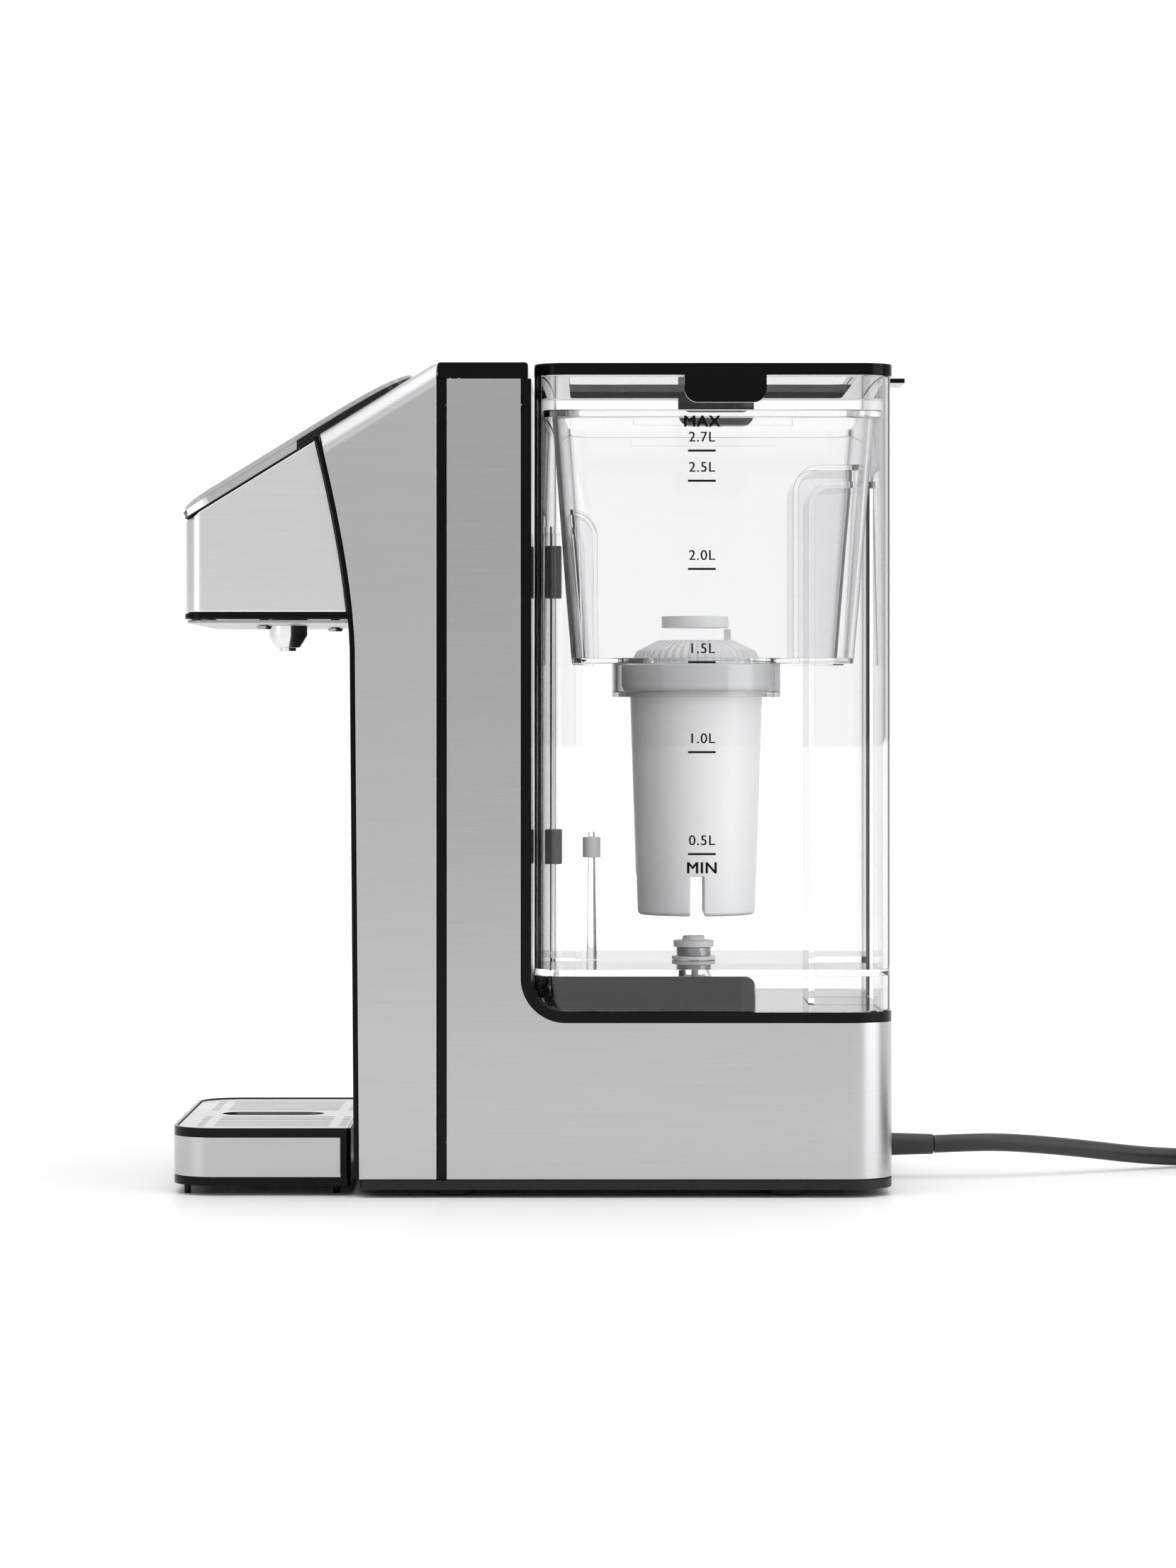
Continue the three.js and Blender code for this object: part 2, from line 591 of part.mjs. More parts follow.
function heater() {
  return turned(
    [[0, HEATER_LOW], [5, HEATER_LOW], [5, HEATER_LOW + 6], [19, HEATER_LOW + 8], [19, HEATER_HIGH - 8],
      [5, HEATER_HIGH - 6], [5, HEATER_HIGH], [0, HEATER_HIGH]],
    0, HEATER_Y, 24,
  );
}

function pump() {
  const motor = new THREE.CylinderGeometry(15, 15, 38, 20).translate(0, PUMP_Y, PUMP_Z);
  const head = new THREE.CylinderGeometry(19, 19, 12, 20).translate(0, PUMP_Y - 24, PUMP_Z);
  const inlet = new THREE.CylinderGeometry(4, 4, 9, 12).translate(0, PUMP_Y + 22.5, PUMP_Z);
  return join(motor, head, inlet, rod(4, PUMP_Z + 15, PUMP_Z + 24, 0, PUMP_Y - 24, 12));
}

function flowMeter() {
  return join(rod(13, 22, 40, 0, VALVE_Y + 4, 20), rod(4, 39, 46, 0, VALVE_Y + 4, 12));
}

add("heater", heater(), STEEL);
add("thermal_cutout", block(-8, 8, HEATER_Y + 19.5, HEATER_Y + 25, 140, 156), BLACK_PLASTIC);
add("pump", pump(), GREY_PLASTIC);
add("flow_meter", flowMeter(), WHITE_PLASTIC);
add("power_board", block(halfBody - 22, halfBody - 20.4, -60, -12, 48, 150), BOARD);
add(
  "inlet_tube",
  hose([[0, VALVE_Y + 4, 46.6], [0, VALVE_Y + 4, 50], [0, VALVE_Y, 60], [0, VALVE_Y, 65.6]], 4, 8),
  SILICONE,
);
add(
  "link_tube",
  hose([[0, VALVE_Y - 9.8, 33], [0, VALVE_Y - 13, 33], [0, PUMP_Y + 27.6, PUMP_Z]], 3.6, 6),
  SILICONE,
);
add(
  "riser_tube",
  hose(
    [
      [0, PUMP_Y - 24, PUMP_Z + 24.6],
      [0, PUMP_Y - 24, PUMP_Z + 29],
      [0, -24, 74],
      [0, HEATER_Y, 86],
      [0, HEATER_Y, HEATER_LOW - 0.6],
    ],
    4, 14,
  ),
  SILICONE,
);
add(
  "spout_tube",
  hose(
    [
      [0, HEATER_Y, HEATER_HIGH + 0.6],
      [0, HEATER_Y, HEATER_HIGH + 6],
      [0, HEATER_Y - 4, HEAD_BOTTOM - 1.4],
      [0, -60, HEAD_BOTTOM + 20.6],
      [0, NOZZLE_Y + 12, HEAD_BOTTOM + 25.6],
      [0, NOZZLE_Y, HEAD_BOTTOM + 14.6],
      [0, NOZZLE_Y, HEAD_BOTTOM + 8.6],
    ],
    4, 18,
  ),
  SILICONE,
);

// ---------------------------------------------------------------- what the tank docks on
const DOCK_TOP = DECK_TOP + 10.4;
const DOCK_BACK = 86;
const DOCK_ROUNDING = 5; // its upper rear edge
const DOCK_HALF = 21;

// Everything below the cradle's bend and deck, which the pieces that stand on it are cut to.
function belowCradle() {
  const top = DOCK_TOP + 60;
  const shape = cladOutline(CRADLE + 2 * GAP, top);
  shape.lineTo(BASE_BACK + 1, 0);
  shape.lineTo(CLAD_BACK - 10, 0);
  shape.lineTo(CLAD_BACK - 10, top);
  return across(shape, -halfBody, halfBody, 8);
}

function dockHousing() {
  const plan = roundedRect(-DOCK_HALF, TANK_WALL + 1.4, DOCK_HALF, DOCK_BACK, [2, 2, 9, 9]);
  const room = SENSOR_WIDTH / 2 + TANK_WALL + 1.4;
  const roomBack = TANK_FRONT + SENSOR_DEPTH + TANK_WALL + 1.4;
  const notch = block(-room, room, -5, roomBack, DECK_TOP - 9, DOCK_TOP + 1);
  const body = cut(upright(plan, DECK_TOP - 5, DOCK_TOP), notch);
  const socket = rod(12.6, DOCK_TOP - 6.4, DOCK_TOP + 1, 0, VALVE_Y, 24);
  const hollow = cut(body, belowCradle(), socket, rod(3, DECK_TOP - 1, DOCK_TOP, 0, VALVE_Y, 12));
  const side = roundedRect(-9, DECK_TOP - 9, DOCK_BACK, DOCK_TOP, [0, 0, DOCK_ROUNDING, 0]);
  return overlapOf(hollow, across(side, -DOCK_HALF - 1, DOCK_HALF + 1));
}

add("dock_housing", dockHousing(), BLACK_GLOSS);
add("dock_seal", ring(10.3, 12.3, DOCK_TOP - 6.1, DOCK_TOP - 3, 0, VALVE_Y), SILICONE);
const TOWER_FACE = CLAD_BACK + GAP + CRADLE + 0.2;
const SENSOR_Z = TANK_FLOOR + 37.8;

add("tank_catch", block(-7, 7, TOWER_FACE, 9.3, SENSOR_TOP - 25.3, SENSOR_TOP - 4.8), BLACK_PLASTIC);
add("level_sensor", block(-7, 7, TOWER_FACE, 9.6, SENSOR_Z, SENSOR_Z + 13.5), BLACK_PLASTIC);

// ---------------------------------------------------------------- tank
const halfTank = TANK_WIDTH / 2;
const NIPPLE_RADIUS = 9.9;
const NIPPLE_BORE = 6.6;
const NIPPLE_BOTTOM = DOCK_TOP - 5.6;

function tankPlan(inset) {
  const side = halfTank - inset;
  return roundedRect(-side, TANK_FRONT + inset, side, TANK_BACK - inset, TANK_CORNER - inset);
}

// A channel that runs up from under the tank, or the wall round it when it is grown. Its top
// corner inside the tank is rounded.
function channel(width, y0, y1, top, grow, atBack) {
  const corner = CHANNEL_CORNER + grow;
  const corners = atBack ? [0, 0, 0, corner] : [0, 0, corner, 0];
  const side = roundedRect(y0, TANK_BOTTOM - 5, y1, top + grow, corners);
  return across(side, -width / 2 - grow, width / 2 + grow);
}

function tank() {
  const outside = upright(tankPlan(0), TANK_BOTTOM, TANK_TOP, 6);
  const channels = (grow) => [
    channel(SENSOR_WIDTH, TANK_FRONT - 5, TANK_FRONT + SENSOR_DEPTH + grow, SENSOR_TOP, grow, false),
    channel(GRIP_WIDTH, TANK_BACK - GRIP_DEPTH - grow, TANK_BACK + 5, GRIP_TOP, grow, true),
  ];
  const inside = cut(upright(tankPlan(TANK_WALL), TANK_FLOOR, TANK_TOP + 5, 6), ...channels(TANK_WALL));
  const skirt = upright(tankPlan(TANK_WALL), TANK_BOTTOM - 5, TANK_FLOOR_UNDER, 6);
  const under = cut(skirt, ...channels(TANK_WALL));
  let body = cut(outside, inside, under, belowCradle(), ...channels(0));
  const ledgeIn = halfTank - TANK_WALL - 2.6;
  const ledgeTop = FLANGE_BOTTOM - GAP;
  for (const side of [-1, 1]) {
    const [x0, x1] = side > 0 ? [ledgeIn, halfTank - 1] : [-halfTank + 1, -ledgeIn];
    body = join(body, block(x0, x1, TANK_MIDDLE - 30, TANK_MIDDLE + 30, ledgeTop - 3, ledgeTop));
  }
  body = join(body, rod(NIPPLE_RADIUS, NIPPLE_BOTTOM, TANK_FLOOR_UNDER + 1, 0, VALVE_Y, 24));
  return cut(body, rod(NIPPLE_BORE, NIPPLE_BOTTOM - 1, TANK_FLOOR + 1, 0, VALVE_Y, 24));
}

// The poppet: cap, stem and sealing disc. The spring sits between its cap and the guide ring.
function valvePoppet() {
  const low = NIPPLE_BOTTOM + 2.6;
  const capLow = TANK_FLOOR + 5.2;
  const capHigh = TANK_FLOOR + 9.6;
  return turned(
    [[0, low], [2, low], [2, capLow], [8, capLow], [8, capHigh - 1.8], [4.6, capHigh - 1.8], [4.2, capHigh], [0, capHigh]],
    0, VALVE_Y, 20,
  );
}

const GUIDE_TOP = TANK_FLOOR + 1.6;
const FLOAT_ROD_TOP = TANK_FLOOR + 50.3;
const FLOAT_ROD_Y = TANK_FRONT + SENSOR_DEPTH + TANK_WALL + 3.9;

add("tank", tank(), CLEAR);
add("valve_guide", ring(2.5, 8.6, TANK_FLOOR + 0.2, GUIDE_TOP, 0, VALVE_Y, 20), WHITE_PLASTIC);
add("valve_poppet", valvePoppet(), WHITE_PLASTIC);
add("valve_spring", ring(5.4, 6.8, GUIDE_TOP + GAP, TANK_FLOOR + 4.9, 0, VALVE_Y, 20), STEEL);
const floatRod = [[0, TANK_FLOOR + 0.2], [2, TANK_FLOOR + 0.2], [1.2, FLOAT_ROD_TOP], [0, FLOAT_ROD_TOP]];
add("float_rod", turned(floatRod, 0, FLOAT_ROD_Y, 12), CLEAR);
add("level_float", ring(2.4, 3.5, FLOAT_ROD_TOP - 10, FLOAT_ROD_TOP - 2, 0, FLOAT_ROD_Y, 16), WHITE_PLASTIC);

// ---------------------------------------------------------------- lid
const LID_BOTTOM = TOTAL_HEIGHT - LID;

function lidPlan(inset) {
  const side = halfTank + 0.6 - inset;
  const corner = Math.max(TANK_CORNER - inset, 3);
  return roundedRect(-side, TANK_FRONT - 0.1 + inset, side, BASE_BACK - inset, corner);
}

const LID_RIM = 13;

function lidFrame() {
  const opening = upright(lidPlan(LID_RIM), LID_BOTTOM - 1, TOTAL_HEIGHT + 1);
  let frame = cut(upright(lidPlan(0), LID_BOTTOM, TOTAL_HEIGHT), opening);
  frame = cut(frame, upright(lidPlan(LID_RIM - 2.5), TOTAL_HEIGHT - 2, TOTAL_HEIGHT + 1));
  const y0 = LID_TAB_Y - LID_TAB_WIDTH / 2;
  const y1 = LID_TAB_Y + LID_TAB_WIDTH / 2;
  for (const side of [-1, 1]) {
    const shape = roundedRect(y0, LID_BOTTOM - LID_TAB_DROP, y1, TOTAL_HEIGHT - 2, [5, 5, 0, 0]);
    const tab = across(shape, halfTank + 0.4, halfTank + 3.4);
    frame = join(frame, side > 0 ? tab : mirrored(tab));
  }
  const thumb = block(-13, 13, BASE_BACK - 2, BASE_BACK + THUMB_TAB, TOTAL_HEIGHT - 3.4, TOTAL_HEIGHT - 1.6);
  return join(frame, thumb);
}

add("lid_frame", lidFrame(), BLACK_GLOSS);
add("lid_window", upright(lidPlan(LID_RIM - 2.2), TOTAL_HEIGHT - 1.7, TOTAL_HEIGHT - 0.1), CLEAR);

// ---------------------------------------------------------------- hopper and filter cartridge
function hopperPlan(inset) {
  const side = halfTank - TANK_WALL - 4.6 - inset;
  const front = TANK_FRONT + TANK_WALL + 3.6 + inset;
  const back = TANK_BACK - TANK_WALL - 2.4 - inset;
  return roundedRect(-side, front, side, back, TANK_CORNER + 1 - inset);
}

function hopper() {
  const room = 4.2; // air between the hopper and the tank's channels
  const sensorSide = SENSOR_WIDTH / 2 + TANK_WALL + room;
  const sensorBack = TANK_FRONT + SENSOR_DEPTH + TANK_WALL + room;
  const gripSide = GRIP_WIDTH / 2 + TANK_WALL + room;
  const gripFront = TANK_BACK - GRIP_DEPTH - TANK_WALL - room;
  const low = CUP_BOTTOM - 20;
  const corner = CHANNEL_CORNER + TANK_WALL;
  const sensorHigh = SENSOR_TOP + TANK_WALL + room;
  const gripHigh = GRIP_TOP + TANK_WALL + room;
  const notch = (side, y0, y1, high, corners, grow) =>
    across(roundedRect(y0, low, y1, high + grow, corners), -side - grow, side + grow);
  const notches = (grow) => [
    notch(sensorSide, -20, sensorBack + grow, sensorHigh, [0, 0, corner + grow, 0], grow),
    notch(gripSide, gripFront - grow, TANK_BACK + 20, gripHigh, [0, 0, 0, corner + grow], grow),
  ];
  const straight = upright(hopperPlan(0), HOPPER_BOTTOM, FLANGE_TOP);
  const outside = taper(straight, HOPPER_BOTTOM, FLANGE_TOP, HOPPER_TAPER);
  const floor = HOPPER_BOTTOM + HOPPER_WALL;
  const straightInside = upright(hopperPlan(HOPPER_WALL), floor, FLANGE_TOP + 1);
  const inside = taper(straightInside, floor, FLANGE_TOP, HOPPER_TAPER);
  const flange = cut(
    upright(tankPlan(TANK_WALL + 0.8), FLANGE_BOTTOM, FLANGE_TOP),
    upright(hopperPlan(HOPPER_WALL), FLANGE_BOTTOM - 1, FLANGE_TOP + 1),
  );
  const hollow = cut(inside, ...notches(HOPPER_WALL));
  let body = cut(join(cut(outside, ...notches(0)), flange), hollow);
  body = join(body, rod(CUP_RADIUS, CUP_BOTTOM, HOPPER_BOTTOM + 1, 0, FILTER_Y, 32));
  body = cut(body, rod(CUP_RADIUS - HOPPER_WALL, CUP_BOTTOM + HOPPER_WALL, floor + 1, 0, FILTER_Y, 32));
  return cut(body, rod(FILTER_TOP_RADIUS + 0.8, CUP_BOTTOM - 1, floor, 0, FILTER_Y, 32));
}

// Bowl-shaped collar, long tapered can and a cross slot in its foot.
function filterBody() {
  const collar = FILTER_TOP_RADIUS + FILTER_COLLAR;
  const top = HOPPER_BOTTOM;
  const seat = CUP_BOTTOM + HOPPER_WALL + GAP;
  const body = turned(
    [[0, FILTER_BOTTOM], [FILTER_FOOT_RADIUS - 1, FILTER_BOTTOM], [FILTER_FOOT_RADIUS, FILTER_BOTTOM + 1],
      [FILTER_TOP_RADIUS, seat], [collar - 1, seat], [collar, seat + 2], [collar, top], [0, top]],
    0, FILTER_Y, 32,
  );
  const slotTop = FILTER_BOTTOM + 15.5;
  const reach = FILTER_FOOT_RADIUS + 5;
  const along = block(-reach, reach, FILTER_Y - 2.7, FILTER_Y + 2.7, FILTER_BOTTOM - 1, slotTop);
  const sideways = block(-2.7, 2.7, FILTER_Y - reach, FILTER_Y + reach, FILTER_BOTTOM - 1, slotTop);
  return cut(body, along, sideways);
}

const CAP_TOP = HOPPER_BOTTOM + 9.6;
const RING_Z = CAP_TOP + 4.9;
const RING_BACK = FILTER_Y + 12.4;

function filterCap() {
  const low = HOPPER_BOTTOM + 0.2;
  const side = [[0, low], [25.2, low], [25.2, low + 1.6], [23.4, low + 5.2], [15, CAP_TOP], [0, CAP_TOP]];
  const dome = turned(side, 0, FILTER_Y, 32);
  const post = block(-2.2, 2.2, RING_BACK - 1.4, RING_BACK + 1.2, CAP_TOP - 2, RING_Z - 0.5);
  return join(dome, post);
}

// The strap that pulls the cartridge out, hinged at the top of its post.
function pullRing() {
  const radius = 13.2;
  const centre = RING_BACK - radius + 0.4;
  return ring(radius - 2, radius, RING_Z, RING_Z + 4.6, 0, centre, 24);
}

add("hopper", hopper(), CLEAR);
add("filter_body", filterBody(), WHITE_PLASTIC);
add("filter_cap", filterCap(), WHITE_PLASTIC);
add("pull_ring", pullRing(), WHITE_PLASTIC);

// ---------------------------------------------------------------- drip tray
const halfTray = TRAY_WIDTH / 2;
const BAND_LOW = 7;
const BAND_HIGH = 22.3;
const BAND = 0.8;
const TUB_BOTTOM = 3.8;

function trayPlan(inset, backInset = inset) {
  const front = TRAY_CORNER - inset;
  const side = halfTray - inset;
  return roundedRect(-side, TRAY_FRONT + inset, side, TRAY_BACK - backInset, [front, front, 2, 2]);
}

function trayTub() {
  const whole = upright(trayPlan(0), TUB_BOTTOM, TRAY_TOP);
  const hollow = upright(trayPlan(TRAY_WALL), TUB_BOTTOM + 2.2, TRAY_TOP + 1);
  const rebate = upright(trayPlan(TRAY_WALL - 1.2), TRAY_TOP - 2.2, TRAY_TOP + 1);
  const bandSpace = cut(
    upright(trayPlan(-5, 2.4), BAND_LOW, BAND_HIGH),
    upright(trayPlan(BAND + 0.2, -5), BAND_LOW - 1, BAND_HIGH + 1),
  );
  let tub = cut(whole, hollow, rebate, bandSpace);
  for (const x of [-halfTray + 12, halfTray - 12]) {
    for (const y of [TRAY_FRONT + 5.5, TRAY_BACK - 6]) {
      tub = join(tub, rod(1.3, 0, TUB_BOTTOM + 1, x, y, 10));
    }
  }
  return tub;
}

function trayBand() {
  return cut(
    upright(trayPlan(0, 2.7), BAND_LOW + 0.2, BAND_HIGH - 0.2),
    upright(trayPlan(BAND, -5), BAND_LOW - 1, BAND_HIGH + 1),
  );
}

function dripGrid() {
  const plan = trayPlan(TRAY_WALL - 0.8);
  let plate = upright(plan, TRAY_TOP - 1.9, TRAY_TOP - 0.5);
  const start = TRAY_FRONT + 13.7 - 5;
  const spans = [
    [start, start + SLOT_SHORT],
    [start + SLOT_SHORT + 3.7, start + SLOT_SHORT + 3.7 + SLOT_LONG],
    [start + SLOT_SHORT + 7.4 + SLOT_LONG, start + 2 * SLOT_SHORT + 7.4 + SLOT_LONG],
  ];
  const half = SLOT_WIDTH / 2;
  const perSide = SLOT_ROWS / 2;
  const pitch = (halfTray - 24) / perSide;
  for (let row = 0; row < perSide; row += 1) {
    for (const side of [-1, 1]) {
      const x = side * (15 + row * pitch);
      const slots = spans.map(([y0, y1]) => block(x - half, x + half, y0, y1, TRAY_TOP - 3, TRAY_TOP + 1));
      plate = cut(plate, ...slots);
    }
  }
  const middle = (TRAY_FRONT + TRAY_BACK) / 2;
  const grip = upright(roundedRect(-7, middle - 20, 7, middle + 20, 7), TRAY_TOP - 3, TRAY_TOP + 1);
  return cut(plate, grip);
}

add("tray_tub", trayTub(), BLACK_PLASTIC);
add("tray_band", trayBand(), STEEL);
add("drip_grid", dripGrid(), STEEL);

// ---------------------------------------------------------------- mains lead
const RELIEF_END = BASE_BACK + SLEEVE_LENGTH;

// Tapered sleeve that carries the lead out of the back of the base.
function strainRelief() {
  const radius = CORD / 2;
  const y0 = BASE_BACK - 6;
  const face = BASE_BACK;
  const end = RELIEF_END - y0;
  const points = [
    [0, 0],
    [SLEEVE_RADIUS + 1.6, 0],
    [SLEEVE_RADIUS + 1.6, 3.4],
    [SLEEVE_RADIUS, 3.4],
    [SLEEVE_RADIUS, face - y0 + 1.2],
    [radius + 0.4, end],
    [0, end],
  ];
  const body = new THREE.LatheGeometry(points.map(([r, along]) => new THREE.Vector2(r, along)), 20);
  return body.translate(CORD_EXIT_X, y0, CORD_EXIT_Z);
}

const CORD_TURN = COIL_OUTER - CORD / 2 - 0.8;
const CORD_REST = CORD / 2 + 0.1;
const COIL_TOP = 2 * CORD + 0.6;
const COIL_MOUTH = COIL_Y - Math.sqrt(COIL_OUTER ** 2 - (CORD_TURN - CORD / 2) ** 2) - GAP;
const LEAD_ROUTE = [
  [CORD_EXIT_X, RELIEF_END + GAP, CORD_EXIT_Z],
  [CORD_EXIT_X - 0.6, 168, 13.6],
  [CORD_EXIT_X - 3, 181, 13.6],
  [CORD_EXIT_X - 7.5, 195, 12.5],
  [CORD_EXIT_X - 13.6, 209, 10.8],
  [CORD_EXIT_X - 20.8, 223, 8.7],
  [CORD_EXIT_X - 28.6, 237, 6.5],
  [CORD_EXIT_X - 36.4, 250.5, 4.8],
  [CORD_EXIT_X - 43.2, 264, 3.8],
  [CORD_EXIT_X - 48.3, 275, CORD_REST],
  [COIL_X - CORD_TURN, COIL_MOUTH, CORD_REST],
];
const TAIL_Z = PLUG_RADIUS + 0.4;
const TAIL_ROUTE = [
  [COIL_X - 36, COIL_Y + 21, TAIL_Z],
  [COIL_X - 28, COIL_Y + 35, TAIL_Z],
  [COIL_X - 17, COIL_Y + 50, TAIL_Z],
  [COIL_X - 3, COIL_Y + 61, TAIL_Z],
  [COIL_X + 12, COIL_Y + 66, TAIL_Z],
  [COIL_X + 18, COIL_Y + 66.4, TAIL_Z],
];

function coilBundle() {
  const low = 0.1;
  const high = COIL_TOP;
  const cutBack = 3;
  return turned(
    [[COIL_INNER, low + cutBack], [COIL_INNER + cutBack, low], [COIL_OUTER - cutBack, low], [COIL_OUTER, low + cutBack],
      [COIL_OUTER, high - cutBack], [COIL_OUTER - cutBack, high], [COIL_INNER + cutBack, high],
      [COIL_INNER, high - cutBack], [COIL_INNER, low + cutBack]],
    COIL_X, COIL_Y, 28,
  );
}

// Two-pin plug lying on its round side beside the coil, with its pins towards +X.
function plug() {
  const sleeve = [[0, 0], [4.6, 0], [6.5, 16], [13, 22], [PLUG_RADIUS, 30], [PLUG_RADIUS, 42], [0, 42]];
  const body = new THREE.LatheGeometry(sleeve.map(([r, along]) => new THREE.Vector2(r, along)), 24);
  const pins = [-9.5, 9.5].map((side) => new THREE.CylinderGeometry(2.4, 2.4, 20, 12).translate(side, 51, 0));
  const [x, y] = TAIL_ROUTE[TAIL_ROUTE.length - 1];
  return join(body, ...pins).rotateZ(-Math.PI / 2).translate(x + GAP, y, PLUG_RADIUS + 0.2);
}

add("strain_relief", strainRelief(), RUBBER);
add("cord_run", hose(LEAD_ROUTE, CORD / 2, 24, 8), RUBBER);
add("cord_coil", coilBundle(), RUBBER);
add("cord_tail", hose(TAIL_ROUTE, CORD / 2, 10, 8), RUBBER);
add("plug", plug(), RUBBER);

model.position.y = -CENTRE_Y;

export default model;
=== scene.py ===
import math

import bpy
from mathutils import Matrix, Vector


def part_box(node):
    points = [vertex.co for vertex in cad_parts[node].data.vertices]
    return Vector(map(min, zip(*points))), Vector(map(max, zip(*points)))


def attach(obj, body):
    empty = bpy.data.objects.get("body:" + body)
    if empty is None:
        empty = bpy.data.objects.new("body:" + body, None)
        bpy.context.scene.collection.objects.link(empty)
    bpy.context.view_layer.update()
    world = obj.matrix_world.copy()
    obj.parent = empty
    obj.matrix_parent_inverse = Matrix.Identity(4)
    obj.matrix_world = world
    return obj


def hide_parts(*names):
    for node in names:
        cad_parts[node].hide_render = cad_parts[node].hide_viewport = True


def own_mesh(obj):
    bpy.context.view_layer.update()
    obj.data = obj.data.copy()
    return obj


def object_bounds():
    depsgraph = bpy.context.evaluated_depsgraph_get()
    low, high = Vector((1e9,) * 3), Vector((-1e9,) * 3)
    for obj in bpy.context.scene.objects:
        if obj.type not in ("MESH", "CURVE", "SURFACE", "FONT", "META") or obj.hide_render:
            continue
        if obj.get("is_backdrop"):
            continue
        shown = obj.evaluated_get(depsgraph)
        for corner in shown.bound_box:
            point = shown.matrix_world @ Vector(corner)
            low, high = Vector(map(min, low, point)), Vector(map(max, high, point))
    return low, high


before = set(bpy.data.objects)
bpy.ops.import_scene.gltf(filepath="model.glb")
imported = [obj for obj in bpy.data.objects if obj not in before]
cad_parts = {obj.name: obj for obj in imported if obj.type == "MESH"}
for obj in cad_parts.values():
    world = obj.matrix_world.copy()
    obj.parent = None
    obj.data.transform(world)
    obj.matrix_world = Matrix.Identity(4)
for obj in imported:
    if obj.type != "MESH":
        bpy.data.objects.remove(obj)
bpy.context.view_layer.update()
bpy.ops.object.select_all(action="DESELECT")

# ---------------------------------------------------------------- camera
# The camera stands off the right side of the dispenser, level with the upper
# part of the tank, with the lens lowered a little in its mount.
CAMERA_AWAY = 1.70
CAMERA_ALONG = 0.0228
CAMERA_UP = 0.1844
NEAR_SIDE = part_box("steel_wrap")[1].x
PICTURE_HEIGHT = 0.5908
SENSOR = 36
LIGHT_BOUNCES = 32
camera_data = bpy.data.cameras.new("camera")
camera = bpy.data.objects.new("camera", camera_data)
bpy.context.collection.objects.link(camera)
camera.location = (NEAR_SIDE + CAMERA_AWAY, CAMERA_ALONG, CAMERA_UP)
camera.rotation_euler = (math.radians(90), 0, math.radians(90))
camera_data.sensor_width = SENSOR
camera_data.lens = CAMERA_AWAY * SENSOR / PICTURE_HEIGHT
camera_data.shift_x = -0.0093
camera_data.shift_y = -0.048
camera_data.clip_start = 0.05
camera_data.clip_end = 60
bpy.context.scene.camera = camera
bpy.context.scene.view_settings.view_transform = "Standard"
bpy.context.scene.cycles.max_bounces = LIGHT_BOUNCES
bpy.context.scene.cycles.transmission_bounces = LIGHT_BOUNCES
bpy.context.scene.cycles.transparent_max_bounces = LIGHT_BOUNCES

# ---------------------------------------------------------------- mains lead
# A 7 mm rubber-sheathed lead of just under a metre. It leaves its strain relief
# at the back, sinks to the worktop, and what is spare is wound in three turns.
LEAD = 0.007
LEAD_EXIT = (0.0, 0.1531, 0.0132)
LYING = 0.0036
HAIR = 0.0001
RUN = [
    LEAD_EXIT, (-0.0006, 0.1646, 0.0136), (-0.0030, 0.1776, 0.0136),
    (-0.0075, 0.1916, 0.0125), (-0.0136, 0.2056, 0.0108), (-0.0208, 0.2196, 0.0087),
    (-0.0286, 0.2336, 0.0065), (-0.0364, 0.2471, 0.0048), (-0.0432, 0.2606, 0.0038),
    (-0.0483, 0.2716, LYING), (-0.0507, 0.2789, LYING), (-0.0508, 0.2918, LYING),
]
COIL_CENTRE = (-0.0095, 0.3046)
COIL_RADIUS = 0.0413
COIL_END = 1100
TUCKED_IN = 0.0072
LAST_TURN_OUT = 0.0036
TAIL_OUT = 0.0035
TAIL = [
    (-0.0375, 0.3396, 0.0184), (-0.0320, 0.3476, 0.0184), (-0.0265, 0.3546, 0.0184),
    (-0.0198, 0.3606, 0.0184), (-0.0125, 0.3656, 0.0184), (-0.0053, 0.3689, 0.0184),
    (0.0025, 0.3706, 0.0184), (0.0085, 0.3710, 0.0183),
]


def eased(value, low, high):
    """How far a value has come from low to high, starting and ending gently."""
    share = min(max((value - low) / (high - low), 0), 1)
    return share * share * (3 - 2 * share)


def resting_height(x, y, beneath):
    """The height at which the lead lies on the worktop or on the turns under it."""
    height = LYING
    for bx, by, bz in beneath:
        apart = math.hypot(x - bx, y - by)
        if apart < LEAD:
            height = max(height, bz + math.sqrt(LEAD**2 - apart**2) + HAIR)
    return height


def lead_route():
    """The lead's centreline: the run off the back, three turns laid one on another, the tail."""
    laid = list(RUN)
    for turned in range(0, COIL_END + 1, 10):
        radius = COIL_RADIUS - TUCKED_IN * eased(turned, 290, 355)
        radius += LAST_TURN_OUT * eased(turned, 680, 750) + TAIL_OUT * eased(turned, 1040, COIL_END)
        angle = math.radians(180 - turned)
        x = COIL_CENTRE[0] + radius * math.cos(angle)
        y = COIL_CENTRE[1] + radius * math.sin(angle)
        laid.append((x, y, resting_height(x, y, laid[:-4])))
    first = len(RUN)
    heights = [p[2] for p in laid]
    for _ in range(2):
        smoothed = list(heights)
        for i in range(first + 1, len(laid) - 1):
            smoothed[i] = max(heights[i], (heights[i - 1] + heights[i] + heights[i + 1]) / 3)
        heights = smoothed
    laid = [(p[0], p[1], h) for p, h in zip(laid, heights)]
    return laid + TAIL


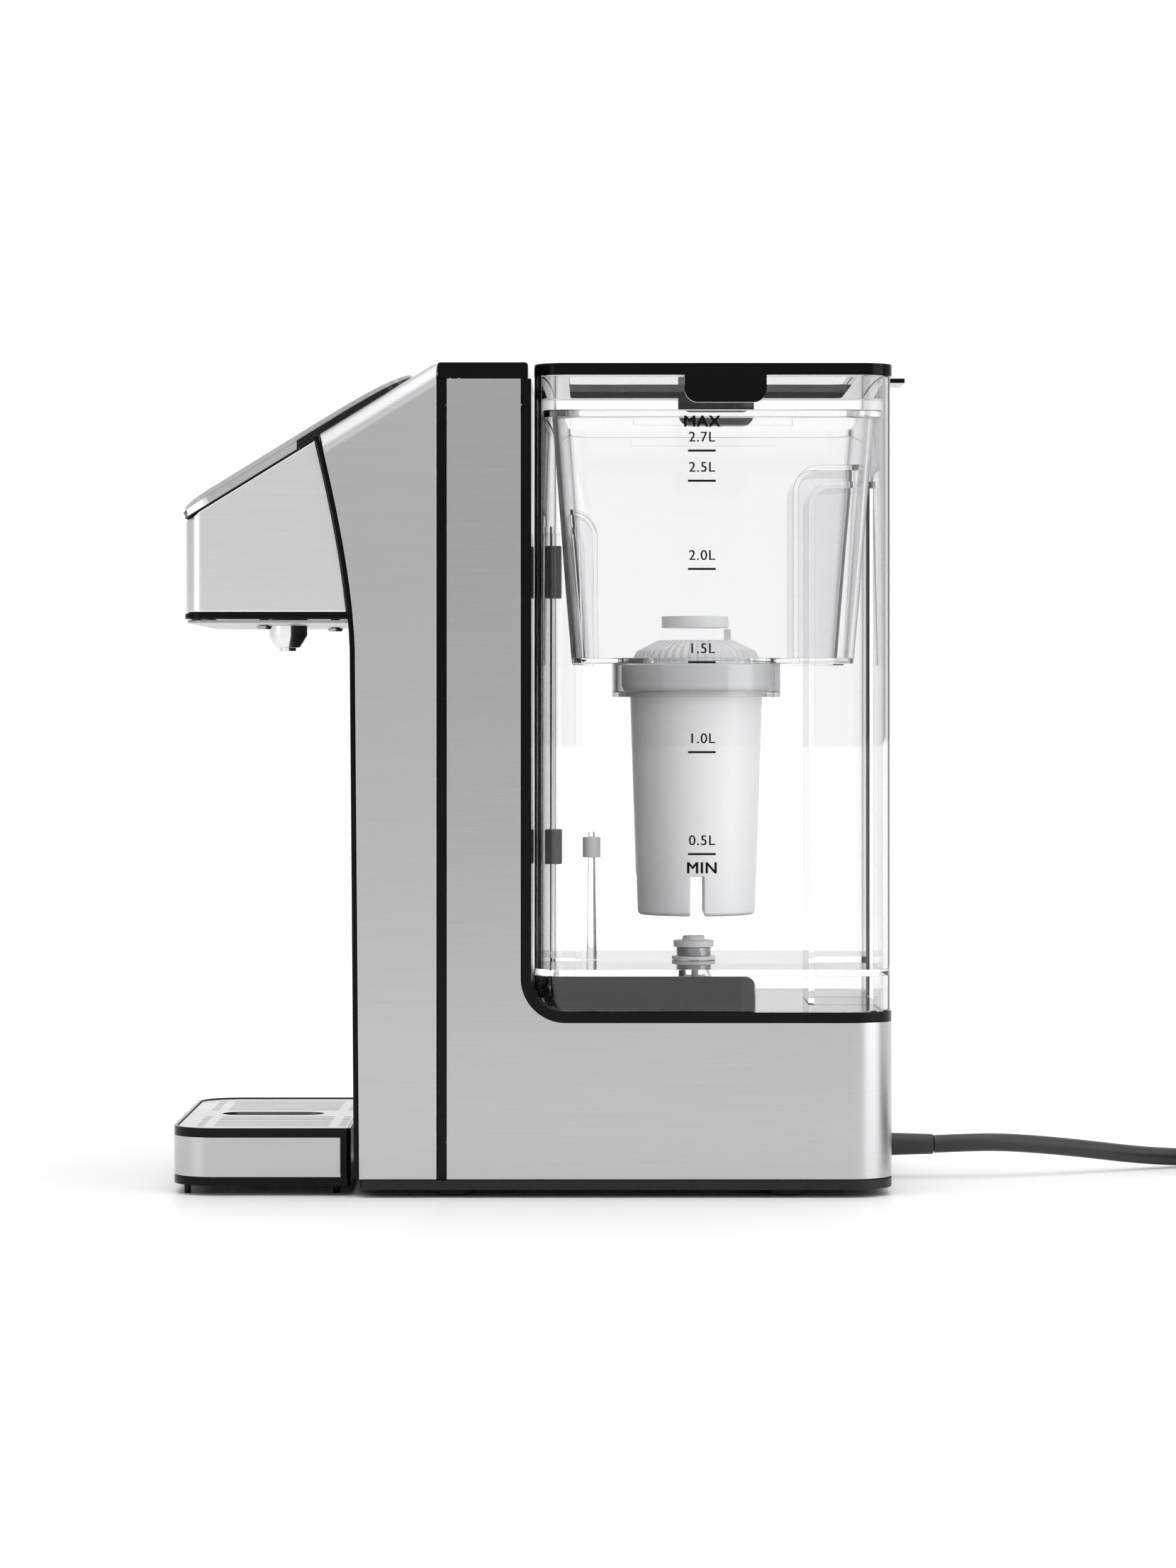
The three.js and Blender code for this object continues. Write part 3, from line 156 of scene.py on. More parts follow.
lead_curve = bpy.data.curves.new("mains_lead", "CURVE")
lead_curve.dimensions = "3D"
lead_curve.bevel_depth = LEAD / 2
lead_curve.bevel_resolution = 4
lead_curve.use_fill_caps = True
lead_curve.resolution_u = 3
route = lead_route()
spline = lead_curve.splines.new("BEZIER")
spline.bezier_points.add(len(route) - 1)
for knot, point in zip(spline.bezier_points, route):
    knot.co = point
    knot.handle_left_type = knot.handle_right_type = "AUTO"
mains_lead = bpy.data.objects.new("mains_lead", lead_curve)
bpy.context.collection.objects.link(mains_lead)
mains_lead.select_set(True)
bpy.context.view_layer.objects.active = mains_lead
bpy.ops.object.convert(target="MESH")
mains_lead.select_set(False)
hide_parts("cord_run", "cord_coil", "cord_tail")
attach(mains_lead, "housing")


def new_material(name, **plain):
    """A material with numbers and colours set on the shader's own sockets."""
    material = bpy.data.materials.new(name)
    material.use_nodes = True
    shader = material.node_tree.nodes["Principled BSDF"]
    for key, value in plain.items():
        socket = shader.inputs[key.replace("_", " ")]
        socket.default_value = (*value, 1) if isinstance(value, tuple) else value
    return material, material.node_tree, shader


def put_in(tree, kind, **inputs):
    """A node of that kind in the tree, its inputs linked or set by name."""
    node = tree.nodes.new(kind)
    for key, value in inputs.items():
        socket = node.inputs[key.replace("_", " ")]
        if isinstance(value, bpy.types.NodeSocket):
            tree.links.new(value, socket)
        else:
            socket.default_value = value
    return node


def ramp(tree, share, first, last):
    """A colour ramp from one grey or tint to another."""
    node = tree.nodes.new("ShaderNodeValToRGB")
    tree.links.new(share, node.inputs[0])
    node.color_ramp.elements[0].color = (*first, 1)
    node.color_ramp.elements[1].color = (*last, 1)
    return node


def between(tree, share, first, last):
    """A colour between two fixed ones, by a share that varies over the surface."""
    mix = tree.nodes.new("ShaderNodeMix")
    mix.data_type = "RGBA"
    mix.inputs[6].default_value = (*first, 1)
    mix.inputs[7].default_value = (*last, 1)
    tree.links.new(share, mix.inputs["Factor"])
    return mix.outputs[2]


def bump_on(tree, shader, height, strength, distance):
    """A height turned into a bump on the shader's normal."""
    bumps = put_in(tree, "ShaderNodeBump", Height=height, Strength=strength, Distance=distance)
    tree.links.new(bumps.outputs[0], shader.inputs["Normal"])


def plastic_skin_group():
    """Fine moulded texture and slow handling marks, for plastic and rubber."""
    group = bpy.data.node_groups.new("plastic_skin", "ShaderNodeTree")
    face = group.interface
    face.new_socket("Texture per metre", in_out="INPUT", socket_type="NodeSocketFloat")
    face.new_socket("Marks per metre", in_out="INPUT", socket_type="NodeSocketFloat")
    face.new_socket("Height", in_out="OUTPUT", socket_type="NodeSocketFloat")
    face.new_socket("Marks", in_out="OUTPUT", socket_type="NodeSocketFloat")
    given = group.nodes.new("NodeGroupInput")
    out = group.nodes.new("NodeGroupOutput")
    at = group.nodes.new("ShaderNodeTexCoord").outputs["Object"]
    fine = put_in(group, "ShaderNodeTexNoise", Vector=at, Scale=given.outputs[0], Detail=3.0,
                  Roughness=0.6)
    slow = put_in(group, "ShaderNodeTexNoise", Vector=at, Scale=given.outputs[1], Detail=4.0,
                  Roughness=0.55)
    group.links.new(fine.outputs["Fac"], out.inputs["Height"])
    group.links.new(slow.outputs["Fac"], out.inputs["Marks"])
    return group


plastic_skin = plastic_skin_group()
FINE = 0.0002


def skin_in(tree, texture, marks):
    """The plastic skin in a material's tree, with the sizes of its texture and marks."""
    skin = tree.nodes.new("ShaderNodeGroup")
    skin.node_tree = plastic_skin
    skin.inputs[0].default_value = texture
    skin.inputs[1].default_value = marks
    return skin


def plastic(name, colour, light, roughness, rough_range, texture, marks, bump, **plain):
    """Moulded plastic: colour and gloss drift slowly, and the surface has a fine texture."""
    material, tree, shader = new_material(name, Roughness=roughness, **plain)
    skin = skin_in(tree, texture, marks)
    tint = between(tree, skin.outputs["Marks"], colour, light)
    tree.links.new(tint, shader.inputs["Base Color"])
    gloss = put_in(tree, "ShaderNodeMapRange", Value=skin.outputs["Marks"], From_Min=0.3, From_Max=0.7,
                   To_Min=roughness - rough_range, To_Max=roughness + rough_range)
    tree.links.new(gloss.outputs[0], shader.inputs["Roughness"])
    bump_on(tree, shader, skin.outputs["Height"], bump, FINE)
    return material


lead_rubber = plastic("lead_rubber", (0.012, 0.012, 0.013), (0.022, 0.022, 0.024), 0.42, 0.08,
                      2500, 60, 0.25)
mains_lead.data.materials.clear()
mains_lead.data.materials.append(lead_rubber)

# ---------------------------------------------------------------- strain relief and plug
# The tapered rubber sleeve at the back wall and the two-pin plug at the far end,
# both moulded onto the lead, with bare metal pins. A strap holds the coil.
MERGE = 0.000004
NEARLY_FLAT = 0.6


def finished(name, material, body, edge=0.0003, corner=38, steps=2):
    """A smooth copy of a CAD piece, its doubled points merged and its edges broken.

    With no edge to break its faces stay as they are, as a slotted or tubular piece needs.
    """
    piece = bpy.data.objects.new(name + "_finished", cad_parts[name].data.copy())
    bpy.context.collection.objects.link(piece)
    bpy.ops.object.select_all(action="DESELECT")
    piece.select_set(True)
    bpy.context.view_layer.objects.active = piece
    bpy.ops.object.mode_set(mode="EDIT")
    bpy.ops.mesh.select_all(action="SELECT")
    bpy.ops.mesh.remove_doubles(threshold=MERGE)
    if edge:
        bpy.ops.mesh.dissolve_limited(angle_limit=math.radians(NEARLY_FLAT))
    bpy.ops.object.mode_set(mode="OBJECT")
    if piece.data.has_custom_normals:
        bpy.ops.mesh.customdata_custom_splitnormals_clear()
    if edge:
        bevel = piece.modifiers.new("broken_edge", "BEVEL")
        bevel.width = edge
        bevel.segments = steps
        bevel.limit_method = "ANGLE"
        bevel.angle_limit = math.radians(corner)
        bevel.miter_outer = "MITER_ARC"
        bpy.ops.object.modifier_apply(modifier=bevel.name)
    bpy.ops.object.shade_smooth_by_angle(angle=math.radians(corner))
    weighted = piece.modifiers.new("flat_faces_stay_flat", "WEIGHTED_NORMAL")
    weighted.keep_sharp = True
    weighted.weight = 80
    bpy.ops.object.modifier_apply(modifier=weighted.name)
    piece.data.materials.clear()
    piece.data.materials.append(material)
    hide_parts(name)
    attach(piece, body)
    piece.select_set(False)
    return piece


relief = finished("strain_relief", lead_rubber, "housing", edge=0.0004)
plug = finished("plug", lead_rubber, "housing", edge=0.0005)
pin_metal, tree, shader = new_material("plug_pin_metal", Metallic=1.0, Roughness=0.24)
skin = skin_in(tree, 1800, 300)
pin_tint = ramp(tree, skin.outputs["Marks"], (0.55, 0.54, 0.52), (0.78, 0.77, 0.75))
tree.links.new(pin_tint.outputs[0], shader.inputs["Base Color"])
plug.data.materials.append(pin_metal)
PINS_FROM = 0.0525
for face in plug.data.polygons:
    if face.center.x > PINS_FROM:
        face.material_index = 1

STRAP_WIDE = 0.009
STRAP_THICK = 0.0009
STRAP_SLACK = 0.0006
STRAP_OFF_FLOOR = 0.0004
STRAP_CORNER = 0.0028


def coil_tie():
    """A flat rubber strap closed round the three turns of the coil."""
    near = [p for p in route if p[0] > COIL_CENTRE[0] + 0.025 and abs(p[1] - COIL_CENTRE[1]) < 0.006]
    inner = min(p[0] for p in near) - LEAD / 2 - STRAP_SLACK
    outer = max(p[0] for p in near) + LEAD / 2 + STRAP_SLACK
    top = max(p[2] for p in near) + LEAD / 2 + STRAP_SLACK
    middle = ((inner + outer) / 2, COIL_CENTRE[1], (top + STRAP_OFF_FLOOR) / 2)
    bpy.ops.object.select_all(action="DESELECT")
    bpy.ops.mesh.primitive_cube_add(size=1, location=middle)
    tie = bpy.context.object
    tie.name = "lead_tie"
    tie.scale = (outer - inner, STRAP_WIDE, top - STRAP_OFF_FLOOR)
    bpy.ops.object.transform_apply(location=True, rotation=True, scale=True)
    bpy.ops.object.mode_set(mode="EDIT")
    bpy.ops.mesh.select_mode(type="FACE")
    bpy.ops.mesh.select_all(action="DESELECT")
    bpy.ops.object.mode_set(mode="OBJECT")
    for face in tie.data.polygons:
        face.select = abs(face.normal.y) > 0.9
    bpy.ops.object.mode_set(mode="EDIT")
    bpy.ops.mesh.delete(type="ONLY_FACE")
    bpy.ops.object.mode_set(mode="OBJECT")
    rounded = tie.modifiers.new("rounded", "BEVEL")
    rounded.width = STRAP_CORNER
    rounded.segments = 5
    rounded.limit_method = "ANGLE"
    bpy.ops.object.modifier_apply(modifier=rounded.name)
    thick = tie.modifiers.new("thick", "SOLIDIFY")
    thick.thickness = STRAP_THICK
    thick.offset = 1
    bpy.ops.object.modifier_apply(modifier=thick.name)
    bpy.ops.object.shade_smooth_by_angle(angle=math.radians(40))
    tie.data.materials.append(lead_rubber)
    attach(tie, "housing")
    tie.select_set(False)
    return tie


tie = coil_tie()

# ---------------------------------------------------------------- floor and light
# A pale floor that runs into a white background, under four soft lights. Beside and
# behind the camera the room is greyer, so clear and polished edges come out dark.
FLOOR_WIDE = 40
BACKGROUND = 1.14
ROOM_LOW = 0.44
ROOM_HIGH = 0.9
bpy.ops.mesh.primitive_plane_add(size=FLOOR_WIDE)
floor = bpy.context.object
floor.name = "floor"
floor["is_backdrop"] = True
floor_paint_and_glow, tree, shader = new_material("floor_paint_and_glow", Roughness=0.42, Emission_Strength=0.4,
                                         Specular_IOR_Level=0.22)
at = tree.nodes.new("ShaderNodeTexCoord").outputs["Object"]
drift = put_in(tree, "ShaderNodeTexNoise", Vector=at, Scale=3.0)
floor_tint = ramp(tree, drift.outputs["Fac"], (0.90, 0.90, 0.90), (0.92, 0.92, 0.92))
tree.links.new(floor_tint.outputs[0], shader.inputs["Base Color"])
# The floor glows more the further back it lies: a painted glow that carries it into the white background.
where = tree.nodes.new("ShaderNodeSeparateXYZ")
tree.links.new(at, where.inputs[0])
painted_glow_further_back = put_in(tree, "ShaderNodeMapRange", Value=where.outputs["X"], From_Min=-0.2, From_Max=-1.6)
painted_glow_further_back.interpolation_type = "SMOOTHSTEP"
tree.links.new(painted_glow_further_back.outputs[0], shader.inputs["Emission Color"])
floor.data.materials.append(floor_paint_and_glow)

room = bpy.data.worlds.new("room")
bpy.context.scene.world = room
room.use_nodes = True
tree = room.node_tree
facing = tree.nodes.new("ShaderNodeSeparateXYZ")
tree.links.new(tree.nodes.new("ShaderNodeTexCoord").outputs["Generated"], facing.inputs[0])
beside = put_in(tree, "ShaderNodeMapRange", Value=facing.outputs["X"], From_Min=-0.92, From_Max=-0.62)
upward = put_in(tree, "ShaderNodeMapRange", Value=facing.outputs["Z"], From_Min=0.02, From_Max=0.75,
                To_Min=ROOM_LOW, To_Max=ROOM_HIGH)
shade = tree.nodes.new("ShaderNodeMix")
tree.links.new(beside.outputs[0], shade.inputs["Factor"])
shade.inputs[2].default_value = BACKGROUND
tree.links.new(upward.outputs[0], shade.inputs[3])
tree.nodes["Background"].inputs["Color"].default_value = (1, 1, 1, 1)
tree.links.new(shade.outputs[0], tree.nodes["Background"].inputs["Strength"])


def soft_box(name, where, towards, wide, high, brightness):
    """A rectangular soft light, its power set by how bright its face looks."""
    data = bpy.data.lights.new(name, "AREA")
    data.shape = "RECTANGLE"
    data.size = wide
    data.size_y = high
    data.energy = brightness * math.pi * wide * high
    box = bpy.data.objects.new(name, data)
    bpy.context.collection.objects.link(box)
    box.location = where
    box.rotation_euler = (Vector(towards) - Vector(where)).to_track_quat("-Z", "Y").to_euler()


soft_box("soft_box_above", (0.2, 0.0, 1.7), (0, 0, 0), 2.0, 2.0, 1.2)
soft_box("soft_box_at_camera", (1.9, 0.0, 0.95), (0, 0, 0.15), 1.6, 0.4, 0.8)
soft_box("strip_at_back", (0.55, 1.15, 0.35), (0, 0, 0.15), 0.9, 1.5, 1.7)
soft_box("strip_at_front", (0.75, -1.05, 0.40), (0, 0, 0.15), 0.6, 1.5, 0.7)

# ---------------------------------------------------------------- base plate, feet and screws
# A black moulded tray closes the bottom. Four rubber feet stand in it and four
# countersunk screws hold it to the housing.
CORNERS = ("front_left", "front_right", "rear_left", "rear_right")
black_plastic = plastic("black_plastic", (0.006, 0.006, 0.007), (0.010, 0.010, 0.011), 0.36, 0.06,
                        1600, 25, 0.12, Specular_IOR_Level=0.3)
foot_rubber = plastic("foot_rubber", (0.018, 0.018, 0.018), (0.035, 0.034, 0.033), 0.72, 0.08,
                      1500, 120, 0.4)
finished("base_plate", black_plastic, "housing", edge=0.0006)
for corner in CORNERS:
    finished("foot_" + corner, foot_rubber, "housing", edge=0.0004)


def worked_out(tree, kind, operation, *values):
    """A maths node's answer, its inputs linked or set in their order."""
    node = tree.nodes.new(kind)
    node.operation = operation
    for socket, value in zip(node.inputs, values):
        if isinstance(value, bpy.types.NodeSocket):
            tree.links.new(value, socket)
        else:
            socket.default_value = value
    return node.outputs[0]


DRAWN_OUT = (22, 22, 0)


def brushed_grain_group():
    """Fine parallel scratches that run level round the metal, and slow smears."""
    group = bpy.data.node_groups.new("brushed_grain", "ShaderNodeTree")
    face = group.interface
    face.new_socket("Lines per metre", in_out="INPUT", socket_type="NodeSocketFloat")
    face.new_socket("Smears per metre", in_out="INPUT", socket_type="NodeSocketFloat")
    face.new_socket("Height", in_out="OUTPUT", socket_type="NodeSocketFloat")
    face.new_socket("Tone", in_out="OUTPUT", socket_type="NodeSocketFloat")
    face.new_socket("Smear", in_out="OUTPUT", socket_type="NodeSocketFloat")
    given = group.nodes.new("NodeGroupInput")
    out = group.nodes.new("NodeGroupOutput")
    at = group.nodes.new("ShaderNodeTexCoord").outputs["Object"]
    parts = group.nodes.new("ShaderNodeSeparateXYZ")
    group.links.new(at, parts.inputs[0])
    lines = worked_out(group, "ShaderNodeMath", "MULTIPLY", parts.outputs["Z"], given.outputs[0])
    flat = put_in(group, "ShaderNodeCombineXYZ", Z=lines)
    drawn = worked_out(group, "ShaderNodeVectorMath", "MULTIPLY", at, DRAWN_OUT)
    along = worked_out(group, "ShaderNodeVectorMath", "ADD", drawn, flat.outputs[0])
    scratches = put_in(group, "ShaderNodeTexNoise", Vector=along, Scale=1.0, Detail=5.0, Roughness=0.72)
    smear = put_in(group, "ShaderNodeTexNoise", Vector=at, Scale=given.outputs[1], Detail=3.0,
                   Roughness=0.5)
    tone = put_in(group, "ShaderNodeMapRange", Value=scratches.outputs["Fac"], From_Min=0.25,
                  From_Max=0.75)
    group.links.new(scratches.outputs["Fac"], out.inputs["Height"])
    group.links.new(tone.outputs[0], out.inputs["Tone"])
    group.links.new(smear.outputs["Fac"], out.inputs["Smear"])
    return group


brushed_grain = brushed_grain_group()


def brushed_metal(name, dark, light, smooth, rough, lines, smears, bump):
    """Brushed metal: the scratches change its tone a little and the smears its gloss."""
    material, tree, shader = new_material(name, Metallic=1.0, Roughness=(smooth + rough) / 2)
    grain = tree.nodes.new("ShaderNodeGroup")
    grain.node_tree = brushed_grain
    grain.inputs[0].default_value = lines
    grain.inputs[1].default_value = smears
    tint = between(tree, grain.outputs["Tone"], dark, light)
    tree.links.new(tint, shader.inputs["Base Color"])
    gloss = put_in(tree, "ShaderNodeMapRange", Value=grain.outputs["Smear"], From_Min=0.0, From_Max=1.0,
                   To_Min=smooth, To_Max=rough)
    tree.links.new(gloss.outputs[0], shader.inputs["Roughness"])
    bump_on(tree, shader, grain.outputs["Height"], bump, FINE)
    return material


screw_steel = brushed_metal("screw_steel", (0.30, 0.30, 0.31), (0.42, 0.42, 0.43), 0.22, 0.34,
                            3000, 200, 0.05)
for corner in CORNERS:
    finished("base_screw_" + corner, screw_steel, "housing", edge=0.0002)

# ---------------------------------------------------------------- steel wrap and tank cradle
# One sheet of brushed stainless steel folds round the base and up both sides of
# the tower. A black gloss cradle inside it carries the tank and edges the steel.
brushed_steel = brushed_metal("brushed_steel", (0.50, 0.505, 0.51), (0.58, 0.585, 0.59), 0.24, 0.30,
                              5200, 6, 0.03)
black_gloss = plastic("black_gloss", (0.0022, 0.0022, 0.0024), (0.004, 0.004, 0.0045), 0.08, 0.02,
                      900, 18, 0.02, Specular_IOR_Level=0.12)
finished("steel_wrap", brushed_steel, "housing", edge=0.0010)
finished("tank_cradle", black_gloss, "housing", edge=0.0005)

# ---------------------------------------------------------------- tower front, joint strips and cap
# The tower's core is black gloss plastic. Slim strips cover the joints between
# steel and wings, and a cap closes the top.
finished("tower_front", black_gloss, "housing", edge=0.0005)
for side in ("left", "right"):
    finished("joint_strip_" + side, black_gloss, "housing", edge=0.0003)
finished("top_cap", black_gloss, "housing", edge=0.0018, steps=4)

# ---------------------------------------------------------------- wings
# Two satin metal side cheeks, rounded over along the sloping top edge, which
# carry the line of the head down to the worktop.
satin_metal = brushed_metal("satin_metal", (0.54, 0.545, 0.55), (0.61, 0.615, 0.62), 0.29, 0.35,
                            4200, 6, 0.02)
for side in ("left", "right"):
    finished("wing_" + side, satin_metal, "housing", edge=0.0012, steps=3)

# ---------------------------------------------------------------- dispensing head
# A folded steel band round the head over a black trim line, with a silver pan
# below that carries two screws and the polished spout.
silver_plastic = plastic("silver_plastic", (0.36, 0.36, 0.37), (0.42, 0.42, 0.43), 0.30, 0.05,
                         2200, 20, 0.08, Metallic=0.7)
# The head's steel is painted far lighter than the wrap's steel: a painted highlight for the brighter
# light that falls on the head.
head_steel_painted_light = brushed_metal("head_steel_painted_light", (0.84, 0.845, 0.85), (0.95, 0.955, 0.96), 0.24, 0.30,
                           4600, 6, 0.04)
finished("head_shell", head_steel_painted_light, "housing", edge=0.0006)
finished("head_band", black_gloss, "housing", edge=0.0004)
finished("head_pan", silver_plastic, "housing", edge=0.0004)
finished("head_deck", black_plastic, "housing", edge=0.0003)
for number in ("1", "2"):
    finished("spout_screw_" + number, screw_steel, "housing", edge=0.0002)
chrome_trim = brushed_metal("chrome_trim", (0.72, 0.72, 0.73), (0.80, 0.80, 0.81), 0.07, 0.12,
                            900, 40, 0.01)
finished("nozzle", chrome_trim, "housing", edge=0.0003)

# ---------------------------------------------------------------- touch panel
# A plain sheet with a glossy grey face lies on the head's slope. Its bezel is
# bright chrome from behind the nose to half way up, and near-black gloss above that.
NOSE_ENDS = 0.022
CHROME_ENDS = 0.49
panel_gloss = plastic("panel_gloss", (0.42, 0.43, 0.44), (0.47, 0.48, 0.49), 0.06, 0.02,
                      600, 12, 0.01, Coat_Weight=1.0)
bezel_chrome, tree, shader = new_material("bezel_chrome", Roughness=0.09)
where = tree.nodes.new("ShaderNodeSeparateXYZ")
tree.links.new(tree.nodes.new("ShaderNodeTexCoord").outputs["Object"], where.inputs[0])
bezel_low, bezel_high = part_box("panel_bezel")
along = put_in(tree, "ShaderNodeMapRange", Value=where.outputs["Y"], From_Min=bezel_low.y,
               From_Max=bezel_high.y)
# The bezel is chrome from just behind the nose to half way along, and near-black gloss at the nose and
# beyond half way.
chrome_share = ramp(tree, along.outputs[0], (0, 0, 0), (1, 1, 1))
chrome_share.color_ramp.interpolation = "CONSTANT"
chrome_share.color_ramp.elements[1].position = NOSE_ENDS
chrome_share.color_ramp.elements.new(CHROME_ENDS).color = (0, 0, 0, 1)
bezel_tint = between(tree, chrome_share.outputs[0], (0.004, 0.004, 0.005), (0.95, 0.95, 0.95))
tree.links.new(bezel_tint, shader.inputs["Base Color"])
tree.links.new(chrome_share.outputs[0], shader.inputs["Metallic"])
finished("panel_bezel", bezel_chrome, "housing", edge=0.0011, steps=4)
finished("panel_glass", panel_gloss, "housing", edge=0.0006, steps=3)

# ---------------------------------------------------------------- works inside the housing
# Heater tube with its cut-out, pump, flow meter, boards and silicone tubes, all
# shut in by the covers.
silicone = plastic("silicone", (0.62, 0.62, 0.60), (0.70, 0.70, 0.68), 0.38, 0.06, 900, 60, 0.08,
                   Subsurface_Weight=0.2)
pump_grey = plastic("pump_grey", (0.16, 0.16, 0.17), (0.21, 0.21, 0.22), 0.45, 0.06, 1800, 60, 0.2)
board_green = plastic("board_green", (0.02, 0.12, 0.05), (0.03, 0.16, 0.07), 0.35, 0.06, 1200, 120, 0.1)
filter_white = plastic("filter_white", (0.84, 0.84, 0.84), (0.88, 0.88, 0.88), 0.36, 0.05, 1400, 30, 0.10,
                       Subsurface_Weight=0.15)
heater_steel = brushed_metal("heater_steel", (0.50, 0.49, 0.47), (0.62, 0.61, 0.59), 0.22, 0.34,
                             1200, 40, 0.06)
for name, material, slot in (
    ("heater", heater_steel, "screw_steel"), ("thermal_cutout", black_plastic, "black_plastic"),
    ("pump", pump_grey, "pump_grey"), ("flow_meter", filter_white, "filter_white"),
    ("control_board", board_green, "board_green"), ("power_board", board_green, "board_green"),
    ("inlet_tube", silicone, "silicone"), ("link_tube", silicone, "silicone"),
    ("riser_tube", silicone, "silicone"), ("spout_tube", silicone, "silicone"),
):
    finished(name, material, "housing", edge=0)

# ---------------------------------------------------------------- dock, seal and the tower's two sockets
# The raised black dock under the tank holds a silicone ring seal for the valve.
# Higher up, the tank catch and the level sensor stand out of the tower wall.
finished("dock_housing", black_gloss, "housing", edge=0.0009, steps=3)
finished("dock_seal", silicone, "housing", edge=0.0003)
finished("tank_catch", black_plastic, "housing", edge=0.0006)
finished("level_sensor", black_plastic, "housing", edge=0.0006)

# ---------------------------------------------------------------- water tank
# A clear moulded tank with a channel at the front for the level sensor and a
# deep grip at the back. The level marks are printed on the side by the camera.


def clear_plastic(name, colour, edge, ripple):
    """Clear moulded plastic, darker where it is seen edge-on, with a faint mould ripple.

    Light from the lamps goes straight through it.
    """
    material, tree, shader = new_material(name, Roughness=0.0, IOR=1.47, Transmission_Weight=1.0)
    skin = skin_in(tree, ripple, 30)
    gloss = put_in(tree, "ShaderNodeMapRange", Value=skin.outputs["Marks"], From_Min=0.4, From_Max=0.8,
                   To_Min=0.0, To_Max=0.03)
    tree.links.new(gloss.outputs[0], shader.inputs["Roughness"])
    bump_on(tree, shader, skin.outputs["Height"], 0.02, 0.0005)
    turned_away = tree.nodes.new("ShaderNodeLayerWeight").outputs["Facing"]
    edge_on = put_in(tree, "ShaderNodeMapRange", Value=turned_away, From_Min=0.30, From_Max=0.92)
    edge_tint = between(tree, edge_on.outputs[0], colour, edge)
    tree.links.new(edge_tint, shader.inputs["Base Color"])
    unbent = put_in(tree, "ShaderNodeBsdfTransparent", Color=(0.96, 0.965, 0.97, 1))
    either = tree.nodes.new("ShaderNodeMixShader")
    tree.links.new(tree.nodes.new("ShaderNodeLightPath").outputs["Is Shadow Ray"], either.inputs[0])
    tree.links.new(shader.outputs[0], either.inputs[1])
    tree.links.new(unbent.outputs[0], either.inputs[2])
    tree.links.new(either.outputs[0], tree.nodes["Material Output"].inputs["Surface"])
    return material


tank_clear = clear_plastic("tank_clear", (0.982, 0.984, 0.985), (0.12, 0.13, 0.14), 25)
hopper_clear = clear_plastic("hopper_clear", (0.962, 0.965, 0.967), (0.09, 0.10, 0.11), 35)
finished("tank", tank_clear, "tank", edge=0.0011, steps=4)
finished("float_rod", tank_clear, "tank", edge=0)
finished("valve_guide", filter_white, "tank", edge=0.0002)
spring = finished("valve_spring", screw_steel, "tank", edge=0)
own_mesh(spring)
finished("valve_poppet", filter_white, "valve", edge=0.0003)
finished("level_float", filter_white, "float", edge=0.0003)

MARKS_AT = 0.0603
BAR_WIDE = 0.0105
BAR_HIGH = 0.0008
INK_OUT = 0.0001
INK_THICK = 0.00004
FIGURE_SIZE = 0.0054
FIGURE_OVER_BAR = 0.0034
FIGURE_SHIFTS = (-0.00006, 0.00006)
WORD_SIZE = 0.0062
WORD_SHIFTS = (-0.00016, 0, 0.00016)
TANK_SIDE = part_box("tank")[1].x
LEVELS = (
    ("2.7L", 0.2819), ("2.5L", 0.2705), ("2.0L", 0.2372),
    ("1.5L", 0.2020), ("1.0L", 0.1680), ("0.5L", 0.1295),
)
WORDS = (("MAX", 0.2909), ("MIN", 0.1222))
ink = plastic("level_ink", (0.001, 0.001, 0.001), (0.003, 0.003, 0.003), 0.45, 0.05, 1500, 200, 0.05,
              Specular_IOR_Level=0.1)
figures = [(t, z + FIGURE_OVER_BAR, FIGURE_SIZE, shift) for t, z in LEVELS for shift in FIGURE_SHIFTS]
words = [(t, z, WORD_SIZE, shift) for t, z in WORDS for shift in WORD_SHIFTS]
prints = []
for text, low, high, shift in figures + words:
    bpy.ops.object.text_add()
    print_text = bpy.context.object
    print_text.data.body = text
    print_text.data.size = high
    print_text.data.align_x = "CENTER"
    print_text.data.extrude = INK_THICK
    print_text.data.space_character = 1.10
    print_text.location = (TANK_SIDE + INK_OUT + shift / 5, MARKS_AT + shift, low)
    print_text.rotation_euler = (math.radians(90), 0, math.radians(90))
    bpy.ops.object.convert(target="MESH")
    prints.append(print_text)
for text, low in LEVELS:
    bpy.ops.mesh.primitive_cube_add(size=1, location=(TANK_SIDE + INK_OUT, MARKS_AT, low))
    bar = bpy.context.object
    bar.scale = (2 * INK_THICK, BAR_WIDE, BAR_HIGH)
    prints.append(bar)
bpy.ops.object.select_all(action="DESELECT")
for piece in prints:
    piece.select_set(True)
bpy.context.view_layer.objects.active = prints[0]
bpy.ops.object.transform_apply(location=True, rotation=True, scale=True)
bpy.ops.object.join()
level_marks = bpy.context.object
level_marks.name = "level_marks"
level_marks.data.materials.clear()
level_marks.data.materials.append(ink)
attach(level_marks, "tank")
level_marks.select_set(False)

